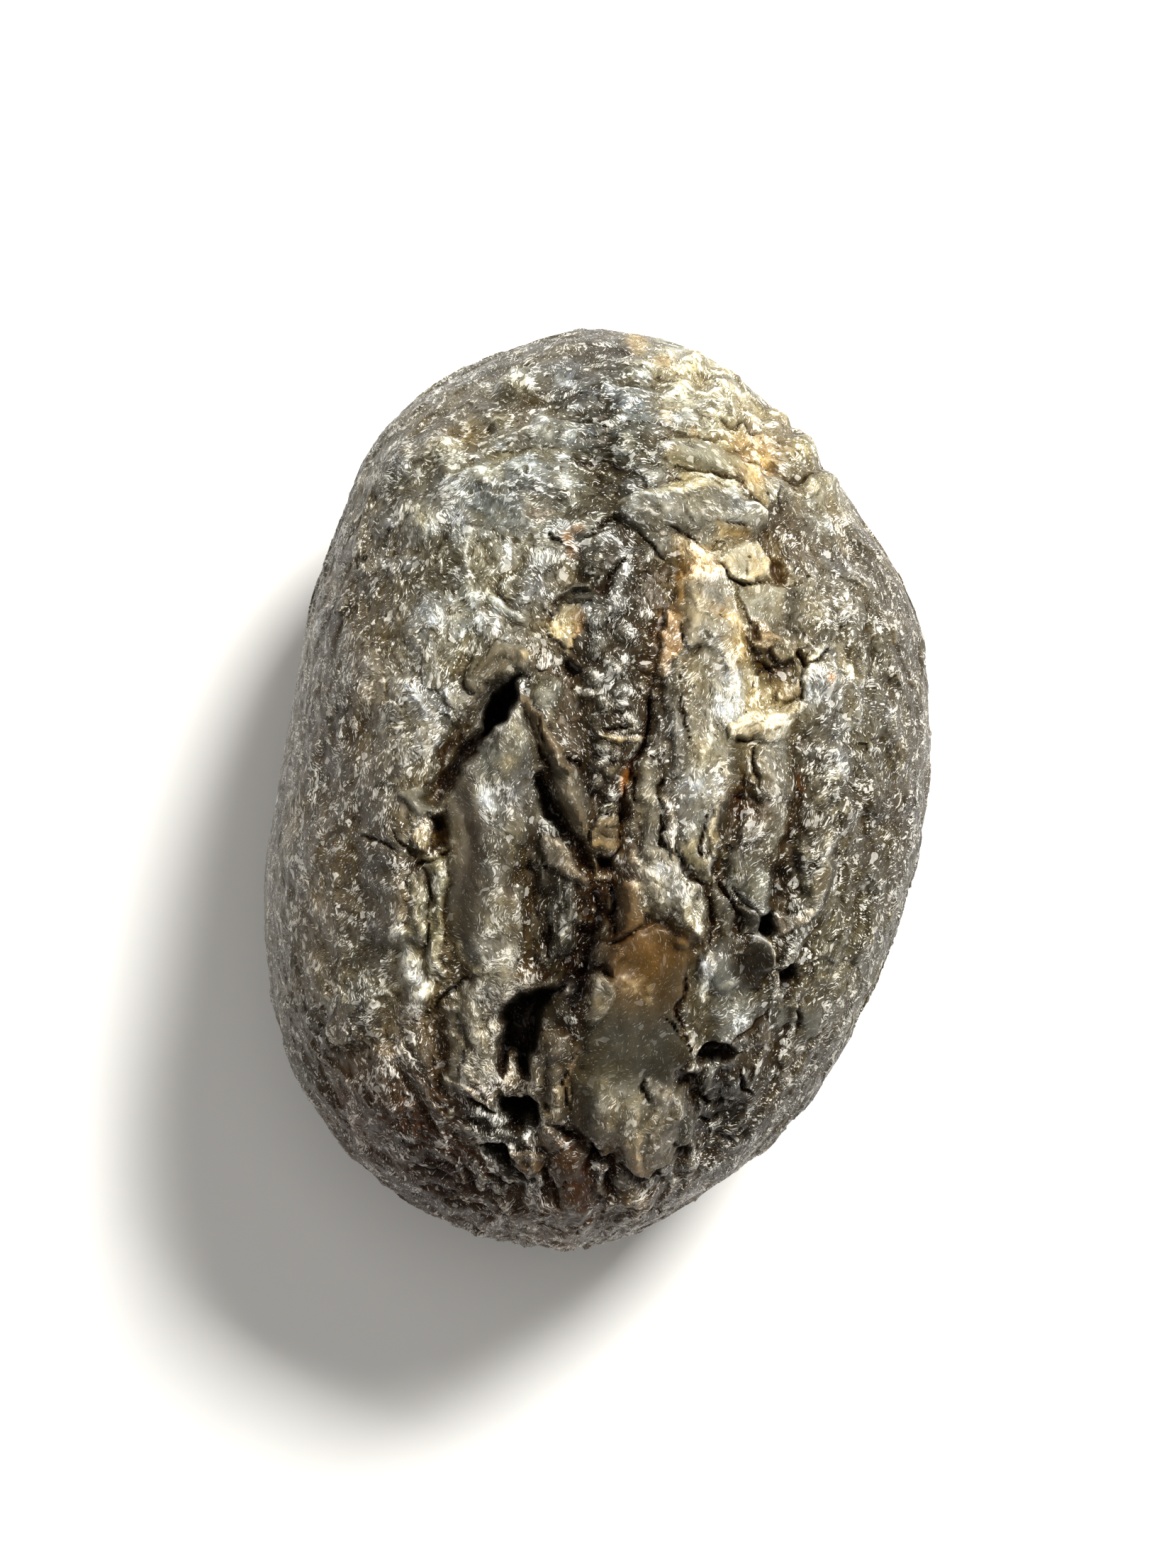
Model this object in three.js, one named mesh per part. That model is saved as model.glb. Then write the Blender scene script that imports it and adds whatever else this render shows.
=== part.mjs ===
// A cobble of obsidian, 52 mm long, broken open along one face.
//
// It is one natural stone, so it is one solid. Millimetres, +Z up. The stone lies on its back on a
// small flat spot at z = 0, with the broken face up; +Y runs along its length. The origin is under
// the middle of its outline.
//
// The shape is a closed dome, drawn in plan by an outline of radii, with the relief of the broken
// face added to it: raised plates and columns of glass, the deep hollows between them, cracks, and
// round lobes. A rough rind covers the flanks and the back.

import * as THREE from "three";
import { ImprovedNoise } from "three/addons/math/ImprovedNoise.js";
import { mergeVertices } from "three/addons/utils/BufferGeometryUtils.js";

// ---------------------------------------------------------------- driving dimensions (mm)

const GIRTH_HEIGHT = 14.0; // height of the widest outline above the resting flat
const FACE_RISE = 16.0; // top of the broken face above the girth
const BACK_DROP = 15.0; // bottom of the rounded back below the girth, 1 mm of it ground flat
const APEX_SHIFT = [-1.0, 0.5]; // the top of the dome lies a little off the middle
const FACE_SHOULDER = { fullness: 2.4, roundness: 0.52 }; // steep flanks, flat crown
const BACK_SHOULDER = { fullness: 2.3, roundness: 0.6 };

// Radius of the outline every 15 degrees, from +X towards +Y.
const OUTLINE = [
  18.8, 19.5, 20.6, 21.4, 22.9, 25.1, 26.0, 25.1, 23.6, 20.8, 18.9, 17.9, // right, top, left
  18.1, 19.5, 21.5, 23.8, 25.4, 26.1, 25.9, 23.7, 21.9, 20.1, 19.0, 18.6, // left, bottom, right
];

// Mesh density: rings of the icosahedron, and the share of its area that the broken face takes.
const SUBDIVISIONS = 20;
const FACE_SHARE = 0.72;

// Rough rind: height and spacing of its lumps, and how much of them a clean plate keeps.
const LUMPS = [
  { height: 0.55, spacing: 6.5 },
  { height: 0.4, spacing: 3.1 },
  { height: 0.22, spacing: 1.7 },
];
const PLATE_ROUGHNESS = 0.25;

// ---------------------------------------------------------------- relief of the broken face (mm)

// Clean plates and columns: height above the dome, and the width over which the edge falls away.
const PLATES = [
  {
    name: "tongue",
    height: 1.3,
    edge: 1.4,
    outline: [
      [-4.0, 3.1], [-6.2, 2.3], [-8.0, 0.3], [-7.7, -3.6], [-7.3, -8.4], [-6.9, -9.9],
      [-5.4, -11.6], [-4.4, -8.0], [-4.4, -4.7], [-3.2, -1.9], [-3.9, 0.2],
    ],
  },
  {
    name: "sliver",
    height: 0.9,
    edge: 1.2,
    outline: [[-3.6, 3.0], [-1.9, 2.0], [-0.7, -0.6], [-0.7, -2.4], [-2.5, 0.1]],
  },
  {
    name: "long_column",
    height: 1.4,
    edge: 1.5,
    outline: [
      [4.7, 8.3], [5.5, 10.0], [7.0, 11.0], [8.0, 8.0], [7.4, 4.6], [6.8, 1.8], [6.0, -2.4],
      [5.0, -3.4], [3.7, -2.0], [4.4, 2.0], [4.6, 4.5],
    ],
  },
  {
    name: "front_lobe",
    height: 1.7,
    edge: 1.5,
    outline: [
      [1.7, -3.1], [2.3, -6.7], [3.0, -7.4], [5.4, -7.6], [6.0, -6.0], [4.5, -4.1], [3.9, -2.9],
    ],
  },
  {
    name: "right_lobe",
    height: 1.3,
    edge: 1.4,
    outline: [[6.4, -3.6], [7.4, -3.0], [8.9, -4.2], [9.6, -5.7], [8.5, -6.8], [7.2, -6.4]],
  },
  {
    name: "right_ridge",
    height: 1.0,
    edge: 1.5,
    outline: [[8.4, 3.9], [10.6, 3.4], [10.5, 0.0], [9.9, -3.0], [8.5, -2.0], [8.3, 1.0]],
  },
  {
    name: "upper_plate",
    height: 1.2,
    edge: 1.3,
    outline: [
      [1.6, 15.2], [5.0, 16.2], [8.0, 15.4], [9.1, 14.1], [6.4, 13.8], [5.4, 13.2], [3.8, 12.3],
      [2.0, 14.0],
    ],
  },
  {
    name: "pale_block",
    height: 1.2,
    edge: 1.2,
    outline: [[6.7, 12.2], [8.4, 13.2], [9.3, 12.0], [8.8, 11.0], [6.9, 11.2]],
  },
  {
    name: "fan_plate",
    height: 1.1,
    edge: 1.3,
    outline: [[7.7, 11.0], [10.4, 10.8], [11.8, 11.2], [11.2, 9.1], [10.4, 7.2], [8.4, 7.8]],
  },
  {
    name: "broad_plate",
    height: 1.5,
    edge: 1.4,
    outline: [
      [-0.4, -9.7], [1.0, -10.3], [3.4, -12.2], [4.7, -14.2], [4.2, -15.6], [4.9, -17.0],
      [4.8, -18.9], [3.2, -20.4], [1.1, -19.4], [0.3, -19.9], [-1.9, -17.7], [-1.4, -14.2],
      [-0.2, -12.6],
    ],
  },
  {
    name: "lower_column",
    height: 0.9,
    edge: 1.4,
    outline: [[-7.6, -10.4], [-5.6, -11.8], [-5.8, -16.4], [-7.2, -17.0], [-8.0, -13.0]],
  },
  {
    name: "lower_facets",
    height: 0.8,
    edge: 1.4,
    outline: [[5.3, -9.3], [8.4, -8.2], [9.6, -9.2], [8.6, -12.4], [7.0, -13.8], [5.2, -13.4]],
  },
];

// Hollows between the plates: depth below the dome, and the width of the sloping wall.
const HOLLOWS = [
  {
    name: "main_hollow",
    depth: 5.0,
    wall: 1.8,
    outline: [[-4.2, 5.9], [-6.0, 4.4], [-6.6, 2.4], [-5.4, 2.9], [-4.0, 3.6], [-3.7, 4.8]],
  },
  {
    name: "striated_hollow",
    depth: 1.6,
    wall: 1.8,
    outline: [[-4.2, -3.2], [-2.2, -3.6], [-0.9, -6.0], [-0.8, -9.2], [-2.4, -10.2], [-4.4, -8.0]],
  },
  {
    name: "lower_hollow",
    depth: 4.2,
    wall: 1.8,
    outline: [
      [-4.9, -11.7], [-2.2, -10.8], [-1.9, -11.8], [-3.2, -13.8], [-3.9, -15.0], [-5.5, -15.8],
      [-5.5, -13.6],
    ],
  },
  {
    name: "foot_hollow",
    depth: 2.8,
    wall: 1.7,
    outline: [[-5.1, -16.9], [-3.5, -16.6], [-3.2, -18.2], [-4.0, -18.6], [-5.1, -17.8]],
  },
  {
    name: "toe_hollow",
    depth: 2.4,
    wall: 1.7,
    outline: [[-6.7, -19.7], [-5.3, -19.3], [-4.3, -20.7], [-5.4, -20.7]],
  },
  {
    name: "arch_hollow",
    depth: 2.4,
    wall: 1.6,
    outline: [[5.0, -14.3], [5.8, -13.7], [7.0, -14.1], [6.2, -15.0], [4.6, -16.2], [4.4, -15.4]],
  },
  {
    name: "eye_hollow",
    depth: 2.6,
    wall: 1.6,
    outline: [[8.6, -6.9], [9.8, -6.6], [9.8, -8.0], [8.7, -8.1]],
  },
  {
    name: "side_hollow",
    depth: 1.8,
    wall: 1.6,
    outline: [[9.7, -9.6], [11.2, -9.8], [11.0, -10.8], [9.8, -10.9]],
  },
  {
    name: "fan_hollow",
    depth: 1.9,
    wall: 1.6,
    outline: [[8.2, 7.3], [10.2, 6.9], [9.9, 5.2], [8.2, 5.2]],
  },
  {
    name: "window",
    depth: 1.3,
    wall: 1.5,
    outline: [[-7.0, 15.1], [-6.0, 14.0], [-4.8, 13.4], [-2.6, 14.5], [-3.6, 15.2]],
  },
  {
    name: "crown_hollow",
    depth: 1.2,
    wall: 1.5,
    outline: [[-2.9, 21.6], [-1.1, 21.5], [-1.6, 20.6]],
  },
];

// Cracks and grooves: depth below the dome, full width, and the path along the bottom.
const CRACKS = [
  { name: "trough", depth: 3.0, width: 2.3, path: [[-6.3, 3.4], [-8.0, 1.0], [-8.6, -3.4]] },
  {
    name: "tongue_groove",
    depth: 2.6,
    width: 1.9,
    path: [[-2.9, 1.6], [-2.6, -0.4], [-1.7, -2.4], [-0.5, -3.9]],
  },
  {
    name: "earthy_crack",
    depth: 1.9,
    width: 1.8,
    path: [[3.0, 5.4], [2.4, 2.8], [1.7, 0.3], [1.0, -2.8]],
  },
  { name: "column_groove", depth: 1.3, width: 1.7, path: [[5.2, 7.6], [4.1, 5.2], [3.8, 2.2]] },
  { name: "lobe_slot", depth: 1.8, width: 1.7, path: [[3.8, -2.8], [5.0, -4.5], [6.2, -6.2]] },
  { name: "ridge_crack", depth: 1.4, width: 1.7, path: [[8.0, 2.2], [7.6, -0.4], [6.0, -2.8]] },
  { name: "rim_crack", depth: 1.6, width: 1.8, path: [[10.9, 2.0], [10.8, -1.0], [10.2, -5.6]] },
  { name: "plate_crack", depth: 1.6, width: 1.7, path: [[4.7, -10.2], [4.4, -12.2], [4.9, -14.2]] },
  { name: "plate_slit", depth: 1.7, width: 1.8, path: [[0.4, -5.4], [-0.3, -7.8], [0.6, -9.9]] },
  { name: "foot_crack", depth: 1.9, width: 1.7, path: [[-2.4, -18.1], [-0.6, -19.3], [0.6, -20.7]] },
  { name: "wedge_shadow", depth: 1.3, width: 1.7, path: [[1.8, 14.2], [3.2, 12.6], [4.2, 11.2]] },
  { name: "side_groove", depth: 1.4, width: 1.7, path: [[9.2, -11.6], [8.1, -13.4], [7.4, -14.1]] },
  { name: "left_crack", depth: 1.4, width: 1.7, path: [[-12.4, -2.5], [-10.6, -3.0], [-8.8, -4.1]] },
];

// Round lobes: centre, radius, and height above the dome (a negative height is a soft dent).
const LOBES = [
  { name: "nose", x: 0.5, y: 9.0, radius: 2.3, height: 1.7 },
  { name: "brow", x: -4.7, y: 7.4, radius: 1.9, height: 0.9 },
  { name: "shoulder_top", x: -9.4, y: 6.0, radius: 4.4, height: 1.3 },
  { name: "shoulder_middle", x: -10.4, y: 0.8, radius: 4.2, height: 1.3 },
  { name: "shoulder_foot", x: -10.4, y: -6.2, radius: 3.8, height: 0.9 },
  { name: "rim_lobe", x: 12.2, y: 6.3, radius: 1.9, height: 0.9 },
  { name: "foot_lobe", x: -7.6, y: -16.2, radius: 1.9, height: 0.7 },
  { name: "left_pit", x: -13.0, y: 3.2, radius: 2.0, height: -0.7 },
  { name: "crown_dent", x: 0.3, y: 17.3, radius: 2.6, height: -0.8 },
];

// ---------------------------------------------------------------- plan geometry

const { smoothstep, euclideanModulo } = THREE.MathUtils;

// Radius of the outline at any angle: a smooth closed curve through the listed radii.
function outlineRadius(angle) {
  const count = OUTLINE.length;
  const place = euclideanModulo((angle / (2 * Math.PI)) * count, count);
  const from = Math.floor(place);
  const t = place - from;
  const [a, b, c, d] = [-1, 0, 1, 2].map((offset) => OUTLINE[(from + offset + count) % count]);
  return b + 0.5 * t * (c - a + t * (2 * a - 5 * b + 4 * c - d + t * (3 * (b - c) + d - a)));
}

function distanceToSegment(x, y, [ax, ay], [bx, by]) {
  const [dx, dy] = [bx - ax, by - ay];
  const along = ((x - ax) * dx + (y - ay) * dy) / (dx * dx + dy * dy);
  const t = Math.min(1, Math.max(0, along));
  return Math.hypot(x - ax - t * dx, y - ay - t * dy);
}

function distanceToPath(x, y, path) {
  const distances = path.slice(1).map((point, i) => distanceToSegment(x, y, path[i], point));
  return Math.min(...distances);
}

// Distance inside a closed outline, negative outside it.
function distanceInside(x, y, outline) {
  const distance = distanceToPath(x, y, [...outline, outline[0]]);
  let inside = false;
  outline.forEach(([bx, by], i) => {
    const [ax, ay] = outline.at(i - 1);
    if (ay > y !== by > y && x < ax + ((y - ay) / (by - ay)) * (bx - ax)) inside = !inside;
  });
  return inside ? distance : -distance;
}

// ---------------------------------------------------------------- relief

// How far a point belongs to the plates: 1 well inside one, 0 on open rind.
function plateCover(x, y) {
  return Math.max(...PLATES.map(({ outline, edge }) =>
    smoothstep(distanceInside(x, y, outline), -edge / 2, edge / 2)));
}

// Height of the broken face above the dome at a point in plan.
function faceRelief(x, y) {
  const raised = PLATES.map(({ outline, edge, height }) =>
    height * smoothstep(distanceInside(x, y, outline), -edge / 2, edge / 2));
  const sunk = HOLLOWS.map(({ outline, wall, depth }) =>
    depth * smoothstep(distanceInside(x, y, outline), -wall / 2, wall / 2));
  const cut = CRACKS.map(({ path, width, depth }) =>
    depth * (1 - smoothstep(distanceToPath(x, y, path), width * 0.15, width * 0.85)));
  const swell = LOBES.map((lobe) => {
    const away = Math.hypot(x - lobe.x, y - lobe.y) / lobe.radius;
    return away < 1 ? lobe.height * (1 - away * away) ** 2 : 0;
  });
  const total = swell.reduce((sum, height) => sum + height, 0);
  return Math.max(0, ...raised) + total - Math.max(0, ...sunk, ...cut);
}

const noise = new ImprovedNoise();

// Lumps of the rind, in space, so that they run unbroken round the rim.
function rindRelief(point) {
  return LUMPS.reduce((sum, { height, spacing }) => {
    const [x, y, z] = point.toArray().map((value) => value / spacing);
    return sum + height * noise.noise(x, y, z);
  }, 0);
}

// ---------------------------------------------------------------- the stone

// A unit direction becomes a point of the stone. The upper part of the unit sphere, by area,
// spreads over the broken face and the rest over the back, so the face gets the finer triangles.
function stonePoint(direction) {
  const fromTop = (1 - direction.z) / 2;
  const onFace = fromTop < FACE_SHARE;
  const level = onFace ? 1 - fromTop / FACE_SHARE : (fromTop - FACE_SHARE) / (1 - FACE_SHARE);
  const reach = Math.sqrt(1 - level * level); // 0 at the crown, 1 at the girth
  const angle = Math.atan2(direction.y, direction.x);
  const radius = reach * outlineRadius(angle);
  const shift = onFace ? level * level : 0;
  const { fullness, roundness } = onFace ? FACE_SHOULDER : BACK_SHOULDER;
  const dome = Math.max(0, 1 - reach ** fullness) ** roundness;
  const point = new THREE.Vector3(
    APEX_SHIFT[0] * shift + radius * Math.cos(angle),
    APEX_SHIFT[1] * shift + radius * Math.sin(angle),
    GIRTH_HEIGHT + (onFace ? FACE_RISE : -BACK_DROP) * dome,
  );

  // The relief stands upright on the crown and turns outward at the girth.
  const outward = reach ** 6;
  const upward = (onFace ? 1 : -1) * (1 - outward);
  const side = new THREE.Vector3(Math.cos(angle) * outward, Math.sin(angle) * outward, upward);
  const roughness = onFace ? 1 - (1 - PLATE_ROUGHNESS) * plateCover(point.x, point.y) : 1;
  const relief = roughness * rindRelief(point) + (onFace ? faceRelief(point.x, point.y) : 0);
  point.addScaledVector(side.normalize(), relief);

  point.z = Math.max(0, point.z); // the flat it rests on
  return point;
}

function stoneGeometry() {
  const sphere = new THREE.IcosahedronGeometry(1, SUBDIVISIONS);
  sphere.deleteAttribute("normal");
  sphere.deleteAttribute("uv");
  const geometry = mergeVertices(sphere, 1e-5);
  const position = geometry.getAttribute("position");
  const direction = new THREE.Vector3();
  for (let i = 0; i < position.count; i += 1) {
    direction.fromBufferAttribute(position, i).normalize();
    position.setXYZ(i, ...stonePoint(direction));
  }
  geometry.computeVertexNormals();
  return geometry;
}

const glass = new THREE.MeshStandardMaterial({ color: 0x4b4842, roughness: 0.45, metalness: 0 });
const stone = new THREE.Mesh(stoneGeometry(), glass);
stone.name = "obsidian_cobble";

const group = new THREE.Group();
group.add(stone);

export default group;
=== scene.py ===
import math

import bpy
import numpy as np
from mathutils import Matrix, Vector


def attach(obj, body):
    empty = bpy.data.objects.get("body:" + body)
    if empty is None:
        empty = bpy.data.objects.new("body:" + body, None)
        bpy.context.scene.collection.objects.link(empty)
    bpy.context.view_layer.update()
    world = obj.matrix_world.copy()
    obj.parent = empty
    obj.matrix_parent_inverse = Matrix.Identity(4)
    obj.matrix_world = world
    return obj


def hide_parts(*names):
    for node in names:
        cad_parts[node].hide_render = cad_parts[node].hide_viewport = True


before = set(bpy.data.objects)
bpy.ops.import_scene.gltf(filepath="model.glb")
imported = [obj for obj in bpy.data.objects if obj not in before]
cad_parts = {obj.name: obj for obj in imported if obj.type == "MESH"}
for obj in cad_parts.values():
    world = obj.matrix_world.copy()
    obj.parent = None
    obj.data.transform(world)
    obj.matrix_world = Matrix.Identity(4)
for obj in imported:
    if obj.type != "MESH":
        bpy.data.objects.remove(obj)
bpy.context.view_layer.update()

# ------------------------------------------------------------------------------------------------
# The cobble. One natural lump of obsidian, worn round on its flanks and back and split open along
# the face that lies upward. Its skin is laid out here as a fine net over a closed dome, and all its
# relief and colour is then laid on that net. Lengths are in millimetres.
# ------------------------------------------------------------------------------------------------

GIRTH_HEIGHT = 14.0
FACE_RISE = 16.0
BACK_DROP = 15.0
APEX_SHIFT = (-1.0, 0.5)
FACE_FULLNESS, FACE_ROUNDNESS = 2.4, 0.52
BACK_FULLNESS, BACK_ROUNDNESS = 2.3, 0.6
GIRTH_REACH = np.array([  # from the middle out to the girth, every 15 degrees from +X
    18.8, 19.5, 20.6, 21.4, 22.9, 25.1, 26.0, 25.1, 23.6, 20.8, 18.9, 17.9,
    18.1, 19.5, 21.5, 23.8, 25.4, 26.1, 25.9, 23.7, 21.9, 20.1, 19.0, 18.6,
])
PUSH_SHARPNESS = 6  # how late, going outward, relief turns from upright to level
CELLS_ACROSS, CELLS_ALONG = ((440, 600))
BACK_STEP = 4  # one mesh of the net on the back spans this many on the face


def outline_radius(angle):
    """How far the girth lies from the middle, as a smooth curve through the given reaches."""
    count = len(GIRTH_REACH)
    place = (angle / (2.0 * np.pi) * count) % count
    start = np.floor(place).astype(int) % count
    t = place - np.floor(place)
    a, b, c, d = (GIRTH_REACH[(start + offset) % count] for offset in (-1, 0, 1, 2))
    return b + 0.5 * t * (c - a + t * (2 * a - 5 * b + 4 * c - d + t * (3 * (b - c) + d - a)))


def lay_net(across, along, rise, fullness, roundness, shift):
    """Points of the bare dome on a net of cells, with the way each is pushed by relief."""
    u, v = np.meshgrid(np.linspace(-1, 1, across + 1), np.linspace(-1, 1, along + 1))
    disc_x = u * np.sqrt(1 - v * v / 2)
    disc_y = v * np.sqrt(1 - u * u / 2)
    reach = np.sin(np.clip(np.hypot(disc_x, disc_y), 0, 1) * np.pi / 2)
    angle = np.arctan2(disc_y, disc_x)
    radius = reach * outline_radius(angle)
    lift = 1 - reach ** 2
    points = np.stack([
        shift[0] * lift + radius * np.cos(angle),
        shift[1] * lift + radius * np.sin(angle),
        GIRTH_HEIGHT + rise * np.maximum(0, 1 - reach ** fullness) ** roundness,
    ], axis=-1)
    outward = reach ** PUSH_SHARPNESS
    push = np.stack([
        np.cos(angle) * outward,
        np.sin(angle) * outward,
        np.sign(rise) * (1 - outward),
    ], axis=-1)
    push /= np.linalg.norm(push, axis=-1, keepdims=True)
    return points.reshape(-1, 3), push.reshape(-1, 3), reach.ravel()


face, face_push, face_reach = lay_net(
    CELLS_ACROSS, CELLS_ALONG, FACE_RISE, FACE_FULLNESS, FACE_ROUNDNESS, APEX_SHIFT)
back, back_push, back_reach = lay_net(
    CELLS_ACROSS // BACK_STEP, CELLS_ALONG // BACK_STEP,
    -BACK_DROP, BACK_FULLNESS, BACK_ROUNDNESS, (0.0, 0.0))


def shuffle(cell, seed):
    """Repeatable random bits for each whole-numbered cell of space."""
    x, y, z = (cell[..., i].astype(np.int64).astype(np.uint32) for i in range(3))
    mixed = x * np.uint32(374761393) + y * np.uint32(668265263) + z * np.uint32(2246822519)
    mixed += np.uint32(seed * 974711 % 2**32)
    mixed = (mixed ^ (mixed >> np.uint32(15))) * np.uint32(2246822519)
    mixed = (mixed ^ (mixed >> np.uint32(13))) * np.uint32(3266489917)
    return mixed ^ (mixed >> np.uint32(16))


def scatter(cell, seed):
    """Three random numbers from 0 to 1 for each cell."""
    bits = shuffle(cell, seed)
    return np.stack([(bits >> np.uint32(s)) & np.uint32(255) for s in (0, 8, 16)], -1) / 255.0


def noise(points, spacing, seed):
    """Soft random swells, about -1 to 1, one every spacing; spacing may differ by axis."""
    place = points / np.asarray(spacing, float)
    cell = np.floor(place)
    t = place - cell
    ease = t ** 3 * (t * (t * 6 - 15) + 10)
    total = np.zeros(len(points))
    for corner in np.ndindex(2, 2, 2):
        weight = np.where(corner, ease, 1 - ease).prod(axis=1)
        slope = scatter(cell + corner, seed) * 2 - 1
        total += weight * ((t - corner) * slope).sum(axis=1)
    return total * 2.0


# What the net carries at every point of the face: height over the dome, colour, how clean and
# smooth the glass is there (1) or how rough the rind (0), and what is added to its crushing and its
# painted glints.
height = np.zeros(len(face))
tint = np.zeros((len(face), 3))
clean = np.zeros(len(face))
scuffed_and_glinting = np.zeros(len(face))
ragged = np.zeros((len(face), 2))
for spacing, reach, seed in ((2.2, 0.30, 11), (0.9, 0.16, 13), (0.4, 0.07, 15)):
    ragged += reach * np.stack([noise(face, spacing, seed), noise(face, spacing, seed + 1)], -1)
plan = face[:, :2] + ragged  # edges drawn on this wander as real breaks do

# ------------------------------------------------------------------------------------------------
# The rind. The weathered skin of the cobble: grey-brown, frosted by thousands of tiny chips, paler
# and creamier at the upper right end, reddish brown at the lower left. It is washed on in soft
# patches of colour that run into each other.
# ------------------------------------------------------------------------------------------------

RIND = (0.080, 0.064, 0.044)
RIND_GREY = (0.178, 0.168, 0.136)
RIND_DARK = (0.036, 0.032, 0.025)
RIND_RED = (0.060, 0.032, 0.016)
RIND_CREAM = (0.47, 0.42, 0.285)
RIND_TAN = (0.26, 0.185, 0.10)
RIND_OLIVE = (0.115, 0.100, 0.058)
GLASS_DARK = (0.038, 0.036, 0.034)
GLASS_BROWN = (0.062, 0.044, 0.028)
GLASS_PALE = (0.27, 0.245, 0.185)


def lay(at, cover, colour=None, smooth=None):
    """Lays a colour and a finish over part of the net, as far as cover says."""
    if colour is not None:
        tint[at] += cover[:, None] * (np.asarray(colour) - tint[at])
    if smooth is not None:
        clean[at] += cover * (smooth - clean[at])


def wash(x, y, radius, colour, strength=1.0, long=1.0):
    """A soft patch of colour; long stretches it along Y."""
    away = np.hypot(plan[:, 0] - x, (plan[:, 1] - y) / long) / radius
    at = np.flatnonzero(away < 1)
    lay(at, strength * (1 - away[at] ** 2) ** 2, colour=colour)


tint[:] = RIND
for x, y, radius, colour, strength, long in (
    (-5, 17, 12, RIND_GREY, 0.95, 1.0), (-8, 6, 6.0, RIND_GREY, 0.9, 1.7),
    (13, 5, 6, RIND_GREY, 0.6, 1.8), (13, -8, 7, RIND_OLIVE, 0.8, 1.4),
    (6.2, 23.6, 6.0, RIND_CREAM, 0.85, 1.0), (7.5, 19.5, 5, RIND_CREAM, 0.8, 1.0),
    (8.6, 18.2, 2.8, (0.36, 0.235, 0.105), 0.9, 1.0), (7, 11.5, 4.5, RIND_CREAM, 0.6, 1.0),
    (8.0, 5, 4.5, RIND_CREAM, 0.7, 1.4), (13.0, 15.5, 3, RIND_CREAM, 0.4, 1.0),
    (-8, 20, 3.5, RIND_TAN, 0.35, 1.0), (-4, 20.3, 2.2, RIND_TAN, 0.5, 1.0),
    (-5.6, 12, 2.6, GLASS_PALE, 0.5, 1.6), (-10, 17.2, 1.8, GLASS_PALE, 0.6, 1.0),
    (1.2, 19.6, 3.2, (0.090, 0.096, 0.088), 0.85, 1.8), (-1.0, 21.0, 2.6, RIND_DARK, 0.5, 1.0),
    (0.6, 17.6, 3.4, (0.072, 0.076, 0.068), 0.8, 1.5),
    (0.7, 9.0, 3.4, RIND_DARK, 0.9, 2.0), (0.6, 0.6, 2.6, RIND_DARK, 0.75, 2.0),
    (-12.5, 8, 2.5, RIND, 0.7, 2.0), (-15.5, 0, 5.0, (0.066, 0.052, 0.036), 0.9, 3.0),
    (-11, -19, 9, RIND_RED, 1.0, 1.0), (-8, -23, 8, RIND_RED, 1.0, 1.0),
    (-4, -19.5, 5, RIND_DARK, 0.8, 1.0), (0, -24, 9, (0.062, 0.045, 0.026), 0.9, 0.8),
    (6.8, -17.5, 5, RIND_DARK, 1.0, 1.0), (1, -7.5, 5, GLASS_BROWN, 0.8, 1.4),
    (10, -8.0, 3.5, RIND_DARK, 0.7, 1.5), (-11, -12, 4, RIND, 0.6, 1.5),
    (-9.4, -9.5, 2.0, RIND_GREY, 0.7, 1.8), (-3.0, -6.5, 3.0, GLASS_DARK, 0.7, 2.0),
):
    wash(x, y, radius, colour, strength, long)

# ------------------------------------------------------------------------------------------------
# The broken face. The split runs down the stone through drawn-out, half-melted glass, so it shows
# as columns and leaves lying against each other, with deep dark gaps left between them. Each leaf,
# rib, gap and crack is laid on the net at its own place, the lowest first.
# ------------------------------------------------------------------------------------------------

# Black and dark brown of the deep gaps and clefts: painted shade on the dark glass.
SHADE_BLACK = (0.007, 0.006, 0.006)
GLASS_SHADE = (0.036, 0.022, 0.011)
GLASS_GREY = (0.100, 0.091, 0.070)
GLASS_OLIVE = (0.085, 0.072, 0.032)
CHALK = (0.42, 0.35, 0.22)
EARTH = (0.50, 0.32, 0.13)
RUST = (0.40, 0.17, 0.04)


def smooth_step(value, low, high):
    """0 below low, 1 above high, and a smooth run between them."""
    t = np.clip((value - low) / (high - low), 0.0, 1.0)
    return t * t * (3.0 - 2.0 * t)


def near(points, margin):
    """Where the net comes within a margin of the box round some points."""
    (low_x, low_y), (high_x, high_y) = np.min(points, axis=0), np.max(points, axis=0)
    return np.flatnonzero(
        (plan[:, 0] > low_x - margin) & (plan[:, 0] < high_x + margin)
        & (plan[:, 1] > low_y - margin) & (plan[:, 1] < high_y + margin))


def from_path(path, at):
    """Distance from a path, and how far along it the nearest place lies, from 0 to 1."""
    away = np.full(len(at), np.inf)
    along = np.zeros(len(at))
    path = np.asarray(path, float)
    lengths = np.linalg.norm(np.diff(path, axis=0), axis=1)
    starts = np.concatenate([[0], np.cumsum(lengths)])
    for a, b, length, start in zip(path, path[1:], lengths, starts):
        t = np.clip(((plan[at] - a) @ (b - a)) / length ** 2, 0, 1)
        gap = np.linalg.norm(plan[at] - a - t[:, None] * (b - a), axis=1)
        closer = gap < away
        away[closer] = gap[closer]
        along[closer] = (start + t[closer] * length) / starts[-1]
    return away, along


def into_outline(outline, at):
    """Distance inside a closed outline, negative outside it."""
    away, _ = from_path([*outline, outline[0]], at)
    x, y = plan[at, 0], plan[at, 1]
    inside = np.zeros(len(at), bool)
    for (ax, ay), (bx, by) in zip([outline[-1], *outline], outline):
        if ay != by:
            inside ^= ((ay > y) != (by > y)) & (x < ax + (y - ay) / (by - ay) * (bx - ax))
    return np.where(inside, away, -away)


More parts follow.
